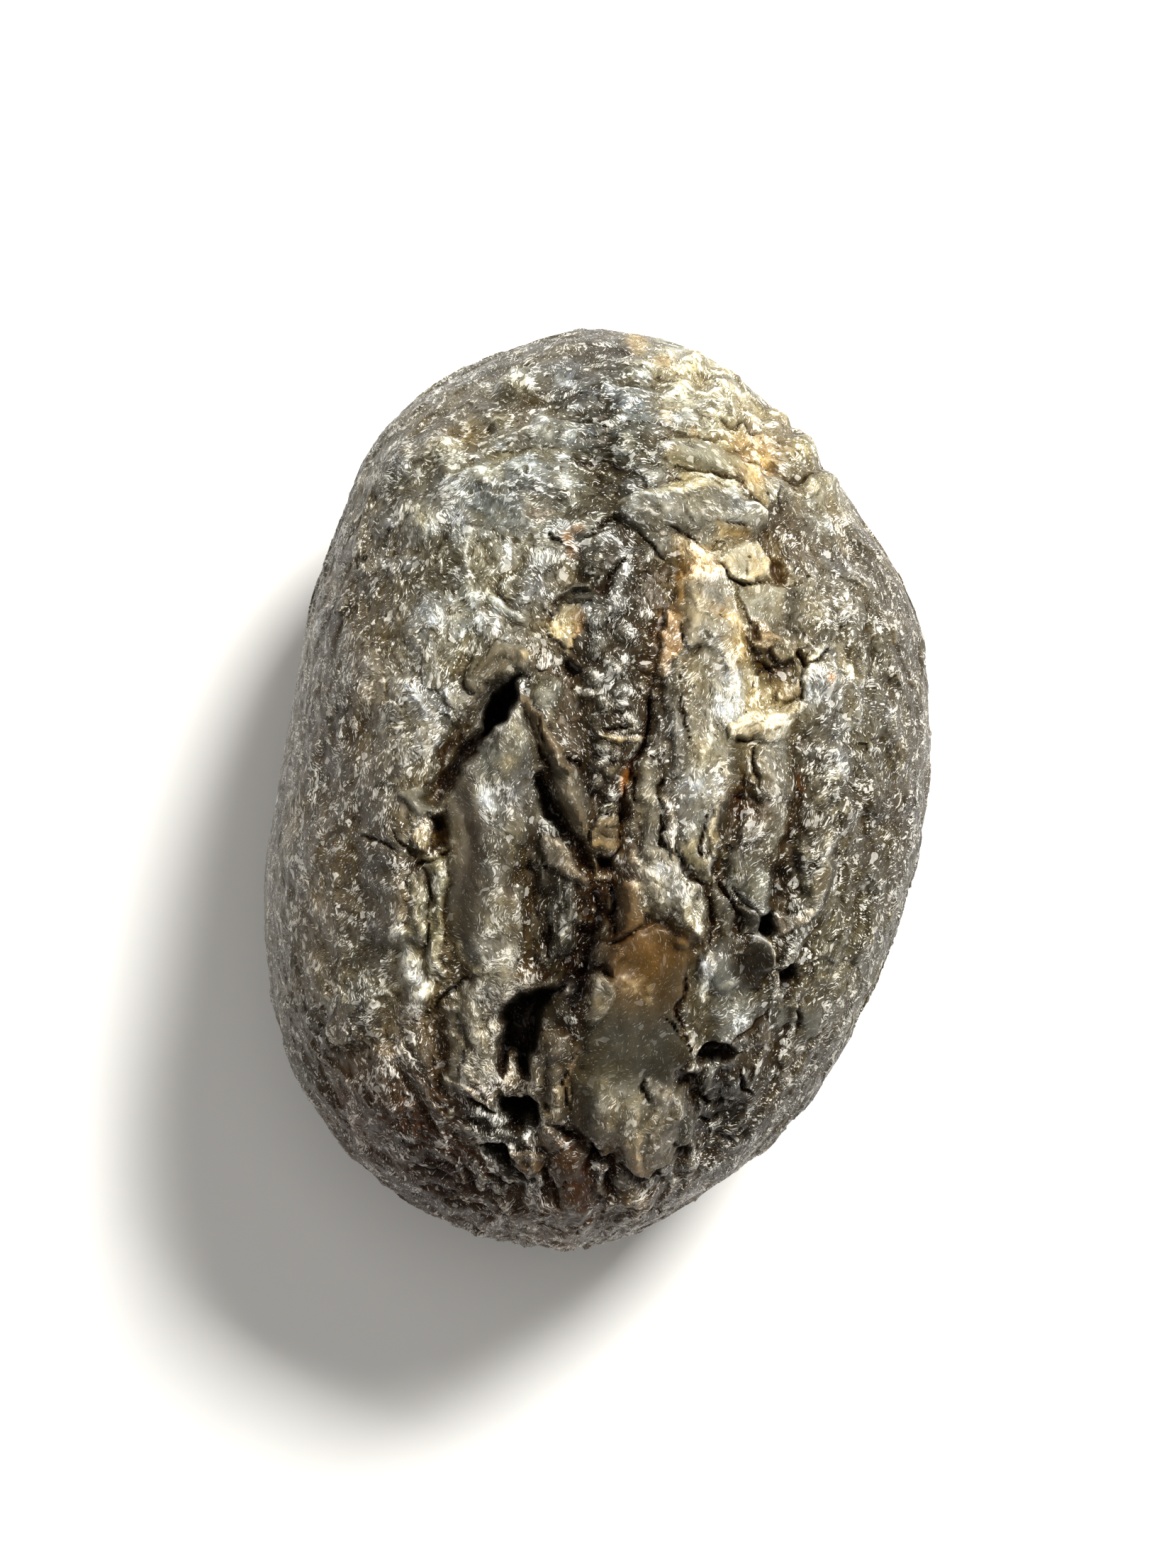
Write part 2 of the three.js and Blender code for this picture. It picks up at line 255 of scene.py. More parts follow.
def lobe(x, y, radius, rise):
    """A round swelling, or a dent if it falls."""
    away = np.hypot(plan[:, 0] - x, plan[:, 1] - y) / radius
    at = np.flatnonzero(away < 1)
    height[at] += rise * (1 - away[at] ** 2) ** 2


def plate(outline, rise, lean=(0.0, 0.0), edge=0.25, colour=None, smooth=None, strength=0.85):
    """A leaf of glass lying on the rest, with broken edges."""
    at = near(outline, edge)
    cover = smooth_step(into_outline(outline, at), -edge / 2, edge / 2)
    slope = (plan[at] - np.mean(outline, axis=0)) @ np.asarray(lean)
    height[at] += cover * np.maximum(rise + slope, 0.1)
    lay(at, strength * cover, colour=colour, smooth=smooth)


def ridge(path, halves, rise, colour=None, smooth=None, strength=0.85, fullness=0.8):
    """A rounded rib along a path, or a valley if it falls; halves are its half widths."""
    at = near(path, max(halves))
    away, along = from_path(path, at)
    half = np.interp(along, np.linspace(0, 1, len(halves)), halves)
    top = np.clip(1 - (away / half) ** 2, 0, 1)
    height[at] += rise * top ** fullness
    lay(at, strength * smooth_step(top, 0.0, 0.5), colour=colour, smooth=smooth)


def crack(path, width, depth, colour=None, smooth=0.8, shade=1.0):
    """A cleft along a path, widest at its middle and closing towards its ends, coloured along it,
    by default with painted shade.
    """
    at = near(path, width * 2)
    away, along = from_path(path, at)
    opening = np.sin(np.pi * np.clip(along, 0.04, 0.96)) ** 0.4
    cut = np.exp(-(away / (0.4 * width * opening)) ** 2)
    height[at] -= 0.7 * depth * opening * cut
    lay(at, 0.85 * shade * cut, GLASS_SHADE if colour is None else colour, smooth)


def hollow(outline, depth, wall=0.6, colour=None, smooth=0.9):
    """A gap that goes down into the stone, with walls as wide as wall, coloured black by default:
    painted shade on the dark glass.
    """
    at = near(outline, 0.3)
    inside = into_outline(outline, at)
    height[at] -= depth * smooth_step(inside, -0.15, wall)
    lay(at, smooth_step(inside, -0.2, 0.3), SHADE_BLACK if colour is None else colour, smooth)


def patch(outline, colour, strength=1.0, soft=0.5, smooth=None):
    """Colour and finish inside an outline, without relief."""
    at = near(outline, soft)
    inside = into_outline(outline, at)
    lay(at, strength * smooth_step(inside, -soft, soft), colour=colour, smooth=smooth)


def streak(path, width, colour, strength=1.0):
    """A line of colour that fades at its ends."""
    at = near(path, width * 2)
    away, along = from_path(path, at)
    fade = np.sin(np.pi * np.clip(along, 0.08, 0.92)) ** 0.5
    lay(at, strength * fade * np.exp(-(away / (0.5 * width)) ** 2), colour=colour)


def scuff_and_glint(x, y, radius, amount, long=1.0):
    """Ground where the glass is crushed white, its marks partly painted glints, or with a negative
    amount, left clear.
    """
    gap = np.hypot(plan[:, 0] - x, (plan[:, 1] - y) / long)
    scuffed_and_glinting[:] += amount * np.exp(-(gap / radius) ** 2)


def stain_and_painted_light(x, y, radius, shift, long=1.0):
    """Multiplies what colour is there, fading outwards."""
    gap = np.hypot(plan[:, 0] - x, (plan[:, 1] - y) / long)
    tint[:] *= 1 + np.exp(-(gap / radius) ** 2)[:, None] * (np.asarray(shift) - 1)


def fibres(outline, along, spacing, rise, seed, soft=0.6):
    """Fine parallel ribs, as glass shows where it was drawn out before it set."""
    at = near(outline, soft)
    inside = into_outline(outline, at)
    way = np.asarray(along) / np.linalg.norm(along)
    run = plan[at] @ way
    across = plan[at] @ np.array([-way[1], way[0]])
    bend = np.stack([across, run / 9, np.zeros(len(at))], axis=-1)
    ribs = noise(bend, spacing, seed) + 0.5 * noise(bend, spacing * 0.45, seed + 1)
    height[at] += rise * ribs * smooth_step(inside, -soft / 2, soft)
    tint[at] *= (1 + 0.35 * ribs * smooth_step(inside, -soft / 2, soft))[:, None]


# The great folds that everything else lies on.
for path, halves, rise in (
    ([(-8.6, 9.0), (-9.8, 4.5), (-10.6, -0.5), (-10.6, -7.0)], (1.6, 2.8, 2.8, 1.8), 0.98),
    ([(-5.0, 5.4), (-6.5, 3.3), (-8.0, 1.0), (-9.0, -0.6)], (0.8, 1.4, 1.3, 0.6), -1.6),
    ([(-8.0, -0.8), (-7.9, -4.0), (-7.9, -8.6)], (0.7, 1.0, 0.8), 0.42),
    ([(-4.3, 4.2), (-5.4, 0.5), (-5.9, -4.0), (-5.6, -9.0), (-6.5, -12.5), (-6.6, -16.0)],
     (0.6, 2.2, 2.2, 1.7, 1.5, 1.1), 0.6),
    ([(-3.2, 0.4), (-2.5, -1.0), (-1.6, -2.6), (-0.5, -4.4)], (0.4, 0.7, 0.7, 0.5), -0.6),
    ([(-3.4, -4.4), (-3.2, -7.0), (-3.0, -9.6)], (0.7, 1.2, 1.0), -0.45),
    ([(-0.8, -8.0), (-2.0, -10.6), (-3.4, -12.2), (-4.6, -14.6), (-4.4, -18.2)],
     (0.8, 1.5, 2.0, 1.4, 0.8), -1.5),
    ([(-2.9, 4.6), (-1.6, 0.5), (-1.0, -2.4)], (0.9, 1.1, 0.5), 0.68),
    ([(0.5, 13.4), (0.6, 9.0), (0.5, 5.0), (0.3, 0.5)], (1.4, 2.3, 1.7, 1.0), 0.75),
    ([(3.2, 9.0), (2.9, 5.0), (2.2, 1.5), (1.3, -1.5)], (0.6, 0.9, 0.8, 0.6), -0.4),
    ([(1.2, -1.0), (0.2, -5.0), (-0.2, -8.0), (-1.4, -10.8)], (0.7, 1.5, 1.6, 1.0), -1.1),
    ([(6.2, 11.4), (6.4, 6.5), (5.9, 2.0), (4.9, -1.5), (3.8, -4.6), (4.7, -7.4)],
     (1.6, 2.5, 2.3, 2.1, 2.6, 1.2), 1.1),
    ([(9.5, 4.0), (9.3, -0.6), (8.0, -4.2), (8.6, -6.4)], (1.0, 1.5, 1.5, 0.9), 0.7),
    ([(7.6, 2.0), (7.2, -1.5), (6.4, -3.6), (6.6, -7.4), (8.9, -7.6)], (0.5, 0.8, 0.7, 0.9, 0.8),
     -0.68),
    ([(10.6, -0.4), (10.3, -2.8), (10.0, -5.4), (9.4, -8.0)], (0.5, 0.7, 1.0, 0.9), -0.5),
    ([(11.8, 9.0), (12.2, 4.0), (12.3, -2.0), (11.6, -6.0)], (1.6, 1.8, 1.8, 1.4), 0.52),
    ([(1.0, -11.0), (1.8, -15.5), (2.4, -19.6)], (2.0, 3.3, 2.6), 0.75),
    ([(-2.3, -13.4), (-2.3, -15.5), (-2.4, -18.0)], (0.6, 1.1, 0.8), 0.6),
    ([(6.4, -9.2), (6.9, -11.6), (7.2, -13.6)], (1.1, 1.8, 1.2), 0.68),
    ([(4.9, -16.0), (6.4, -17.6), (6.0, -19.6)], (0.8, 1.9, 1.0), -0.62),
    ([(-8.4, -9.6), (-8.8, -12.5), (-8.4, -16.4)], (0.6, 0.9, 0.6), -0.56),
    ([(-1.4, -20.6), (-1.6, -23.4)], (1.5, 1.9), 0.6),
    ([(2.0, 14.6), (5.4, 15.2), (9.0, 14.6)], (0.9, 1.7, 0.9), 0.68),
    ([(3.6, 18.4), (5.8, 18.2), (8.0, 17.2)], (0.5, 1.0, 0.6), 0.52),
    ([(-6.8, 15.0), (-4.6, 14.5), (-2.4, 14.7)], (0.5, 1.1, 0.6), -0.12),
    ([(-7.4, 16.6), (-4.4, 17.0), (-1.6, 16.4)], (1.0, 1.4, 0.9), 0.45),
):
    ridge(path, halves, rise, fullness=1.5)
lobe(-13.0, 3.2, 2.0, -0.7)
lobe(0.3, 17.3, 2.6, -0.8)
lobe(-12.8, -1.6, 1.0, -0.5)
lobe(12.3, 6.2, 1.7, 0.8)

# The main hollow and the smooth trough that runs down from it, under the rounded shoulder.
patch([(-5.0, 6.4), (-5.8, 5.9), (-6.9, 4.6), (-7.7, 2.9), (-8.7, 1.1), (-9.1, 0.0), (-8.3, -0.4),
       (-7.2, 1.2), (-6.4, 2.6), (-6.2, 3.8), (-5.4, 5.2)], (0.070, 0.050, 0.031), 0.9, soft=0.3,
      smooth=0.5)
fibres([(-4.8, 6.4), (-6.2, 5.8), (-8.2, 2.6), (-9.2, 0.2), (-8.2, -0.2), (-6.4, 3.2)],
       (-0.62, -1.0), 0.45, 0.22, seed=29)
patch([(-6.6, 6.0), (-5.6, 7.0), (-4.4, 7.0), (-4.4, 6.1), (-5.3, 5.7), (-6.2, 5.0)],
      (0.150, 0.128, 0.092), 0.85, soft=0.35, smooth=0.8)
# A black streak down the trough: painted shade under the shoulder.
streak([(-5.6, 3.9), (-6.6, 2.7), (-7.6, 1.3), (-8.8, -0.2)], 1.5, (0.010, 0.008, 0.006), 1.0)
ridge([(-6.9, 6.6), (-8.0, 4.2), (-9.5, 1.8)], (0.3, 0.5, 0.4), 0.15, GLASS_GREY, strength=0.6)
hollow([(-4.15, 6.0), (-5.1, 5.3), (-6.0, 4.4), (-6.4, 3.4), (-6.5, 2.5), (-5.8, 3.0),
        (-4.9, 3.5), (-4.3, 4.1), (-4.05, 5.0)], depth=6.5, wall=0.5)
hollow([(-5.9, 3.6), (-6.9, 2.8), (-7.8, 1.5), (-8.7, 0.3), (-8.3, -0.1), (-7.2, 0.9),
        (-6.2, 2.0)], depth=1.8, wall=0.6, colour=(0.012, 0.009, 0.007))
ridge([(-6.6, 5.4), (-6.35, 6.5), (-5.7, 7.2), (-4.9, 7.5), (-4.3, 7.2), (-4.1, 6.5)],
      (0.3, 0.5, 0.55, 0.55, 0.5, 0.3), 0.22, (0.15, 0.13, 0.095), smooth=0.8)
crack([(-6.7, 5.9), (-6.2, 7.0), (-5.4, 7.9), (-4.4, 7.9)], 0.15, 0.37, GLASS_BROWN)
plate([(-4.3, 7.3), (-3.8, 7.4), (-3.7, 6.9), (-4.2, 6.8)], 0.19, colour=CHALK, edge=0.15)

# The pocket left of the tongue, with its wedge of tan.
hollow([(-8.9, -1.5), (-8.1, -1.4), (-7.9, -2.6), (-8.1, -3.3), (-8.8, -3.2)], depth=2.6, wall=0.7,
       colour=(0.03, 0.024, 0.012))
plate([(-9.9, -2.3), (-9.3, -1.5), (-8.9, -2.2), (-8.95, -3.2), (-9.3, -3.3), (-9.6, -2.8)], 0.37,
      lean=(-0.3, 0.1), colour=RIND_TAN)
plate([(-8.7, -2.5), (-8.2, -2.3), (-8.1, -2.9), (-8.6, -3.0)], 0.56, colour=RIND_TAN, edge=0.2)
crack([(-12.5, -2.4), (-11.5, -3.1), (-10.6, -3.2)], 0.3, 0.5, GLASS_BROWN)
crack([(-10.9, -2.6), (-10.0, -2.9), (-9.5, -3.5), (-9.3, -4.1)], 0.23, 0.56, GLASS_BROWN)
crack([(-9.5, -4.2), (-8.6, -4.0), (-8.1, -3.4)], 0.3, 0.93)
crack([(-9.4, -3.8), (-9.4, -5.1)], 0.2, 0.5, GLASS_BROWN)
plate([(-10.6, -0.2), (-9.6, 0.0), (-8.8, -0.4), (-8.9, -1.3), (-9.8, -1.4)], 0.31,
      lean=(-0.15, 0.1), colour=(0.14, 0.145, 0.14), smooth=1.0)

# The ribs below it, grey-green, with white crushed lumps at their feet.
ridge([(-8.6, -3.9), (-8.6, -6.4), (-8.7, -8.8)], (0.4, 0.6, 0.4), 0.59, (0.16, 0.155, 0.12), 0.4)
ridge([(-9.6, -4.8), (-9.5, -7.2), (-9.8, -9.2)], (0.4, 0.6, 0.5), 0.45, (0.13, 0.12, 0.09), 0.2)
crack([(-9.1, -4.4), (-9.05, -6.6), (-9.2, -9.0)], 0.2, 0.62, GLASS_DARK)
for x, y, radius in ((-10.0, -9.6, 0.9), (-9.5, -10.9, 0.7), (-8.7, -9.4, 0.6), (-10.4, -7.9, 0.7)):
    lobe(x, y, radius, 0.5)
    wash(x, y, radius, GLASS_PALE, 0.7)

# The tongue: a long smooth rib that comes up from under the brow and broadens downward.
plate([(-7.9, -0.2), (-7.3, 1.0), (-6.2, 2.4), (-4.9, 3.3), (-4.2, 3.9), (-3.8, 3.2), (-3.5, 1.6),
       (-3.7, -0.6), (-3.9, -2.6), (-4.3, -4.2), (-4.7, -6.0), (-4.6, -8.0), (-4.4, -10.0),
       (-5.6, -11.2), (-6.6, -10.2), (-7.5, -8.0), (-7.9, -5.0)], 0.36, edge=0.9,
      colour=(0.112, 0.106, 0.090), smooth=0.4, strength=0.95)
patch([(-8.0, -0.6), (-7.2, 0.8), (-6.5, 0.4), (-6.3, -2.0), (-6.3, -5.6), (-6.6, -8.6),
       (-7.5, -8.0), (-7.9, -4.6)], (0.080, 0.073, 0.067), 1.0, soft=0.5, smooth=0.95)
patch([(-6.6, 1.6), (-5.2, 2.8), (-4.2, 3.4), (-3.8, 1.8), (-4.6, 0.4), (-6.0, 0.4)],
      (0.122, 0.119, 0.096), 0.8, soft=0.4, smooth=0.6)
wash(-4.6, 1.5, 0.8, (0.26, 0.215, 0.12), 0.7)
wash(-4.1, 2.6, 0.6, (0.22, 0.21, 0.17), 0.7, long=1.6)
# A painted glint near the top of the tongue: a pale grey spot, thick white marks and a pale patch.
wash(-5.8, -0.5, 0.7, (0.26, 0.26, 0.24), 0.7, long=1.2)
scuff_and_glint(-5.8, -0.5, 0.6, 2.2, long=1.3)
scuff_and_glint(-5.6, -0.6, 0.8, 0.35, long=1.5)
patch([(-6.3, 0.3), (-5.5, 0.2), (-5.3, -1.2), (-6.1, -1.2)], (0.24, 0.24, 0.22), 0.7, soft=0.4,
      smooth=0.0)
scuff_and_glint(-5.4, -5.0, 0.5, 0.6, long=6.0)
scuff_and_glint(-5.4, -9.6, 0.9, 0.5, long=1.6)
patch([(-4.9, -2.3), (-4.0, -2.0), (-3.8, -2.8), (-4.3, -3.4), (-4.9, -3.1)], (0.052, 0.044, 0.030),
      0.8, soft=0.35)
patch([(-5.1, -3.2), (-4.4, -3.4), (-4.5, -5.6), (-5.1, -6.6)], (0.075, 0.067, 0.060), 0.9,
      soft=0.3, smooth=0.9)
patch([(-5.1, -5.6), (-4.2, -5.4), (-4.1, -7.6), (-4.8, -8.0)], (0.050, 0.038, 0.025), 0.8,
      soft=0.35)
patch([(-6.7, -8.6), (-4.6, -8.2), (-4.4, -10.2), (-5.6, -11.4), (-6.6, -10.4)],
      (0.128, 0.122, 0.102), 0.85, soft=0.5, smooth=0.3)
crack([(-4.15, -3.4), (-4.35, -4.4), (-4.4, -5.4)], 0.22, 0.5)
crack([(-7.4, 0.8), (-8.0, -0.4), (-8.1, -1.8)], 0.2, 0.4, GLASS_BROWN)
ridge([(-7.3, -8.3), (-7.2, -9.2), (-6.8, -9.8)], (0.25, 0.35, 0.3), 0.26, (0.28, 0.25, 0.18))

# The dark valley right of the tongue: drawn fibres, black grooves and a thin sliver across it.
patch([(-3.6, 0.2), (-2.4, -0.6), (-1.4, -4.8), (-0.9, -8.4), (-2.2, -10.2), (-3.6, -9.6),
       (-4.1, -7.0), (-3.9, -3.0)], (0.034, 0.033, 0.030), 0.9, soft=0.35, smooth=0.3)
patch([(-4.0, -3.4), (-3.3, -3.2), (-3.3, -7.6), (-3.9, -8.6)], (0.085, 0.078, 0.056), 0.8,
      soft=0.25)
patch([(-2.6, -6.8), (-1.5, -6.6), (-1.4, -8.8), (-2.4, -9.2)], (0.014, 0.014, 0.015), 0.9,
      soft=0.3, smooth=0.3)
# Dense white marks on the black glass: painted glints.
scuff_and_glint(-2.0, -8.0, 0.5, 1.2, long=1.2)
scuff_and_glint(-3.1, -4.0, 0.3, 0.9, long=3.0)
scuff_and_glint(-2.2, -4.8, 0.5, 0.6, long=1.5)
patch([(-1.3, -5.6), (-0.5, -5.4), (-0.2, -8.0), (-1.2, -10.0), (-1.6, -9.0)],
      (0.040, 0.028, 0.016), 0.85, soft=0.3)
fibres([(-4.2, -2.6), (-2.8, -2.8), (-1.0, -5.4), (-0.6, -9.6), (-3.4, -10.4)], (0.10, -1.0), 0.34,
       0.34, seed=31)
crack([(-2.75, -6.6), (-2.6, -8.0), (-2.75, -9.4)], 0.26, 0.93)
hollow([(-3.5, 0.5), (-3.0, 0.4), (-2.4, -0.4), (-1.9, -1.4), (-1.5, -2.5), (-2.0, -2.4),
        (-2.8, -1.7), (-3.4, -0.8)], depth=1.6, wall=0.35, colour=(0.010, 0.009, 0.008))
hollow([(-1.8, -2.4), (-1.1, -2.5), (-0.5, -3.2), (-0.2, -4.6), (-0.7, -4.4), (-1.3, -3.4)],
       depth=0.7, wall=0.5, colour=(0.036, 0.025, 0.015))
patch([(-3.9, 4.6), (-2.9, 3.8), (-1.6, 2.0), (-0.9, 0.0), (-0.7, -2.0), (-1.3, -2.2),
       (-2.0, -0.9), (-2.7, 0.8), (-3.4, 2.6)], (0.115, 0.088, 0.058), 0.85, soft=0.25, smooth=0.75)
plate([(-2.5, 1.0), (-1.3, 1.3), (-0.7, 0.3), (-0.4, -1.2), (-0.7, -2.2), (-1.5, -1.5),
       (-2.1, -0.3)], 0.3, (0.0, 0.05), colour=(0.135, 0.112, 0.080), smooth=0.7, edge=0.3)
scuff_and_glint(-2.2, -0.2, 0.5, 0.9, long=2.0)
ridge([(-4.0, 4.9), (-3.0, 3.4), (-2.2, 2.2), (-1.4, 0.9)], (0.2, 0.4, 0.5, 0.4), 0.33,
      (0.13, 0.095, 0.055), smooth=0.9)
ridge([(-2.3, 1.5), (-1.6, 0.2), (-1.2, -1.0), (-0.8, -2.2)], (0.4, 0.7, 0.6, 0.25), 0.33,
      (0.125, 0.105, 0.072), smooth=0.8)
crack([(-3.2, 3.7), (-3.0, 3.1), (-2.75, 2.5)], 0.2, 0.74)
crack([(-3.2, 2.5), (-3.0, 1.8), (-2.6, 0.9)], 0.21, 0.87)
crack([(-1.9, 2.1), (-0.95, 1.4), (-0.7, 0.2)], 0.2, 0.87, GLASS_DARK)
plate([(-2.9, -2.4), (-2.2, -2.6), (-1.8, -3.3), (-1.3, -4.2), (-0.65, -4.95), (-0.8, -5.3),
       (-1.5, -4.9), (-2.2, -4.3), (-2.8, -3.6)], 0.62, lean=(0.3, 0.2), colour=(0.16, 0.13, 0.09),
      smooth=0.6, edge=0.2)
crack([(-0.6, -5.2), (-0.1, -6.6), (-0.3, -8.2), (-0.9, -9.6), (-2.0, -10.7)], 0.73, 1.1,
      (0.026, 0.016, 0.010), shade=0.95)
streak([(-4.0, -10.4), (-3.5, -10.7), (-2.8, -11.1)], 0.10, (0.5, 0.48, 0.42))

# The nose: a rough dark boss above the middle, and the flakes round it.
patch([(-1.0, 12.2), (1.6, 12.4), (2.3, 9.0), (2.0, 5.6), (0.2, 4.0), (-0.9, 6.0), (-0.9, 9.0)],
      (0.040, 0.041, 0.038), 0.85, soft=0.8, smooth=0.1)
for x, y, radius in ((-0.3, 9.2, 1.0), (0.9, 9.8, 0.9), (1.2, 8.3, 0.9), (0.1, 7.6, 0.9),
                     (0.9, 6.6, 0.8), (-0.1, 6.0, 0.7), (1.3, 5.2, 0.7)):
    lobe(x, y, radius, 0.7)
scuff_and_glint(0.6, 12.6, 1.4, -0.35)
wash(1.9, 8.2, 0.8, GLASS_BROWN, 0.8, long=1.6)
crack([(-2.3, 9.9), (-1.0, 10.5), (0.1, 10.5), (0.8, 11.5), (1.3, 12.2)], 0.46, 0.93)
plate([(-1.8, 10.2), (-1.2, 10.9), (-0.5, 10.9), (-0.2, 10.3), (-1.0, 10.0)], 0.5, (0.0, 0.3),
      colour=(0.085, 0.082, 0.072), smooth=0.9)
hollow([(-1.9, 6.6), (-1.3, 6.9), (-0.8, 6.5), (-0.9, 5.9), (-1.5, 5.7)], depth=1.5, wall=0.5)
lobe(-1.3, 6.25, 0.32, 0.6)
lobe(-2.6, 5.2, 1.1, 0.4)
patch([(-3.5, 6.2), (-2.4, 6.0), (-1.8, 5.0), (-2.4, 4.0), (-3.4, 4.4)], (0.13, 0.122, 0.085), 0.85,
      soft=0.3, smooth=0.4)
crack([(-3.5, 6.5), (-2.7, 6.3), (-2.05, 5.6), (-1.75, 4.8)], 0.2, 0.56, (0.05, 0.028, 0.012))
for path in ([(-2.2, 8.2), (-0.9, 6.8), (-0.2, 6.2)], [(-0.9, 6.4), (0.3, 7.0), (0.8, 7.6)]):
    crack(path, 0.2, 0.37, (0.05, 0.03, 0.016))
plate([(-2.7, 9.1), (-2.1, 9.3), (-1.7, 10.0), (-0.9, 9.8), (-1.1, 9.1), (-1.2, 8.3), (-1.6, 7.4),
       (-1.9, 8.1), (-2.4, 8.4)], 0.25, lean=(0.0, -0.1), edge=0.15, colour=(0.50, 0.44, 0.31),
      smooth=0.3)
patch([(-1.5, 9.6), (-0.9, 9.6), (-1.1, 8.4), (-1.5, 7.6), (-1.6, 8.6)], (0.55, 0.38, 0.18), 0.7,
      soft=0.2)
streak([(-0.95, 9.4), (-1.1, 8.6), (-1.3, 8.1)], 0.2, RUST, 0.7)
crack([(-5.8, 10.9), (-5.2, 10.2), (-4.4, 9.8), (-3.8, 9.5)], 0.23, 0.5, GLASS_BROWN)
ridge([(-6.0, 10.6), (-5.3, 9.8), (-4.0, 9.2)], (0.2, 0.3, 0.2), 0.16, (0.5, 0.48, 0.4),
      strength=0.7)
for x, y in ((-1.4, 12.6), (-1.6, 13.3), (-1.1, 13.8)):
    wash(x, y, 0.5, RUST, 0.7)
fibres([(-9.0, 14.0), (-3.0, 14.0), (-2.6, 8.4), (-6.6, 8.4)], (0.45, -1.0), 0.7, 0.10, seed=35)

# The column of dark lumps below the nose.
patch([(-0.8, 4.4), (1.9, 4.0), (1.6, 0.4), (0.9, -1.4), (-0.5, -1.2), (-0.8, 1.6)],
      (0.044, 0.038, 0.030), 0.85, smooth=0.25)
for x, y, radius in ((-0.4, 5.0, 0.5), (0.5, 4.4, 0.6), (0.1, 2.2, 0.65), (1.0, 1.7, 0.55),
                     (0.2, 1.1, 0.6), (0.9, 0.6, 0.5), (0.1, 0.0, 0.55), (0.7, -0.6, 0.5),
                     (-0.2, 3.1, 0.45), (1.3, 4.4, 0.5)):
    lobe(x, y, radius, 0.75)
crack([(-0.4, 3.35), (0.5, 3.3), (1.5, 3.45)], 0.21, 0.93)
ridge([(0.0, 2.95), (1.1, 2.75), (2.3, 2.9)], (0.15, 0.28, 0.15), 0.39, (0.36, 0.28, 0.16))
lobe(1.65, 3.45, 0.5, 0.7)
wash(1.65, 3.45, 0.55, GLASS_PALE, 0.9)

# Ladder flake: thin banded glass, edge-on, with dark hollows round it.
plate([(0.0, -1.6), (1.0, -1.5), (1.1, -2.25), (0.85, -3.35), (-0.5, -3.0), (-0.4, -2.35)], 0.74,
      lean=(0.1, 0.15), colour=(0.19, 0.155, 0.095), smooth=0.8, edge=0.2)
crack([(-0.4, -2.15), (0.3, -2.0), (1.05, -2.1)], 0.12, 0.25, GLASS_BROWN)
crack([(-0.45, -2.6), (0.3, -2.5), (0.95, -2.7)], 0.12, 0.25, GLASS_BROWN)
streak([(-0.3, -1.9), (0.3, -1.75), (1.0, -1.8)], 0.18, CHALK, 0.9)
streak([(-0.45, -2.85), (0.2, -2.8), (0.9, -3.1)], 0.2, CHALK, 0.8)
plate([(0.1, -1.0), (1.1, -0.95), (1.1, -1.4), (0.1, -1.4)], 0.43, colour=GLASS_OLIVE, edge=0.15)
hollow([(-0.1, -3.6), (0.9, -3.6), (0.8, -4.3), (0.1, -4.5)], depth=2.2, wall=0.5,
       colour=(0.03, 0.02, 0.012))

# Thin brown flakes that lie over the upper end of the broad plate.
plate([(0.75, -5.6), (1.35, -4.7), (1.9, -5.15), (2.1, -6.7), (2.35, -7.35), (1.5, -7.85),
       (0.75, -8.1)], 0.68, lean=(0.15, 0.1), colour=(0.115, 0.088, 0.055), smooth=0.85)
plate([(-0.3, -8.4), (0.9, -8.3), (1.6, -8.9), (0.9, -9.6), (0.0, -9.4)], 0.43, (0.1, 0.1),
      colour=(0.11, 0.09, 0.055), smooth=0.7)
crack([(0.45, -5.1), (0.55, -6.2), (0.4, -6.9), (0.7, -7.8)], 0.33, 1.2)
crack([(0.0, -9.6), (0.5, -9.8), (1.1, -10.0)], 0.3, 0.99)
crack([(2.1, -7.7), (1.5, -8.1), (0.6, -8.3)], 0.17, 0.5, (0.05, 0.02, 0.008))

# The lower hollow, the deepest gap of the lower half, with splintered walls.
patch([(-4.6, -10.6), (-2.4, -9.8), (-0.8, -8.0), (-0.1, -8.4), (-0.5, -10.4), (-1.2, -12.4),
       (-2.6, -13.0), (-4.6, -11.8)], (0.026, 0.018, 0.011), 0.9, soft=0.4, smooth=0.3)
patch([(-3.6, -10.8), (-2.2, -10.2), (-1.4, -10.4), (-1.2, -11.4), (-2.0, -12.3), (-3.0, -13.0),
       (-3.8, -12.2)], (0.007, 0.006, 0.005), 0.95, soft=0.3, smooth=0.9)
hollow([(-5.0, -12.0), (-4.2, -11.1), (-3.2, -10.9), (-2.0, -10.7), (-2.3, -11.5), (-2.8, -12.3),
        (-3.0, -13.4), (-3.2, -14.4), (-3.4, -15.4), (-4.0, -15.6), (-4.7, -14.8), (-5.0, -15.3),
        (-5.3, -15.9), (-5.6, -15.3), (-5.4, -13.5)], depth=4.0, wall=0.6)
plate([(-4.8, -14.7), (-4.3, -15.0), (-3.7, -15.6), (-3.3, -16.5), (-4.2, -16.9), (-5.0, -16.8),
       (-5.5, -16.3), (-5.2, -15.4)], 0.5, edge=0.4, colour=(0.130, 0.112, 0.086), smooth=0.0)
patch([(-4.9, -14.9), (-4.6, -15.6), (-4.8, -16.6), (-5.5, -16.3), (-5.2, -15.4)],
      (0.19, 0.155, 0.112), 0.8, soft=0.2)
scuff_and_glint(-4.4, -15.9, 0.8, 0.2)
stain_and_painted_light(-1.5, -12.5, 0.7, (0.50, 0.44, 0.36))
stain_and_painted_light(-5.7, -13.0, 0.6, (0.55, 0.50, 0.40), long=3.0)
stain_and_painted_light(-1.6, -11.4, 1.2, (0.55, 0.47, 0.36), long=1.3)
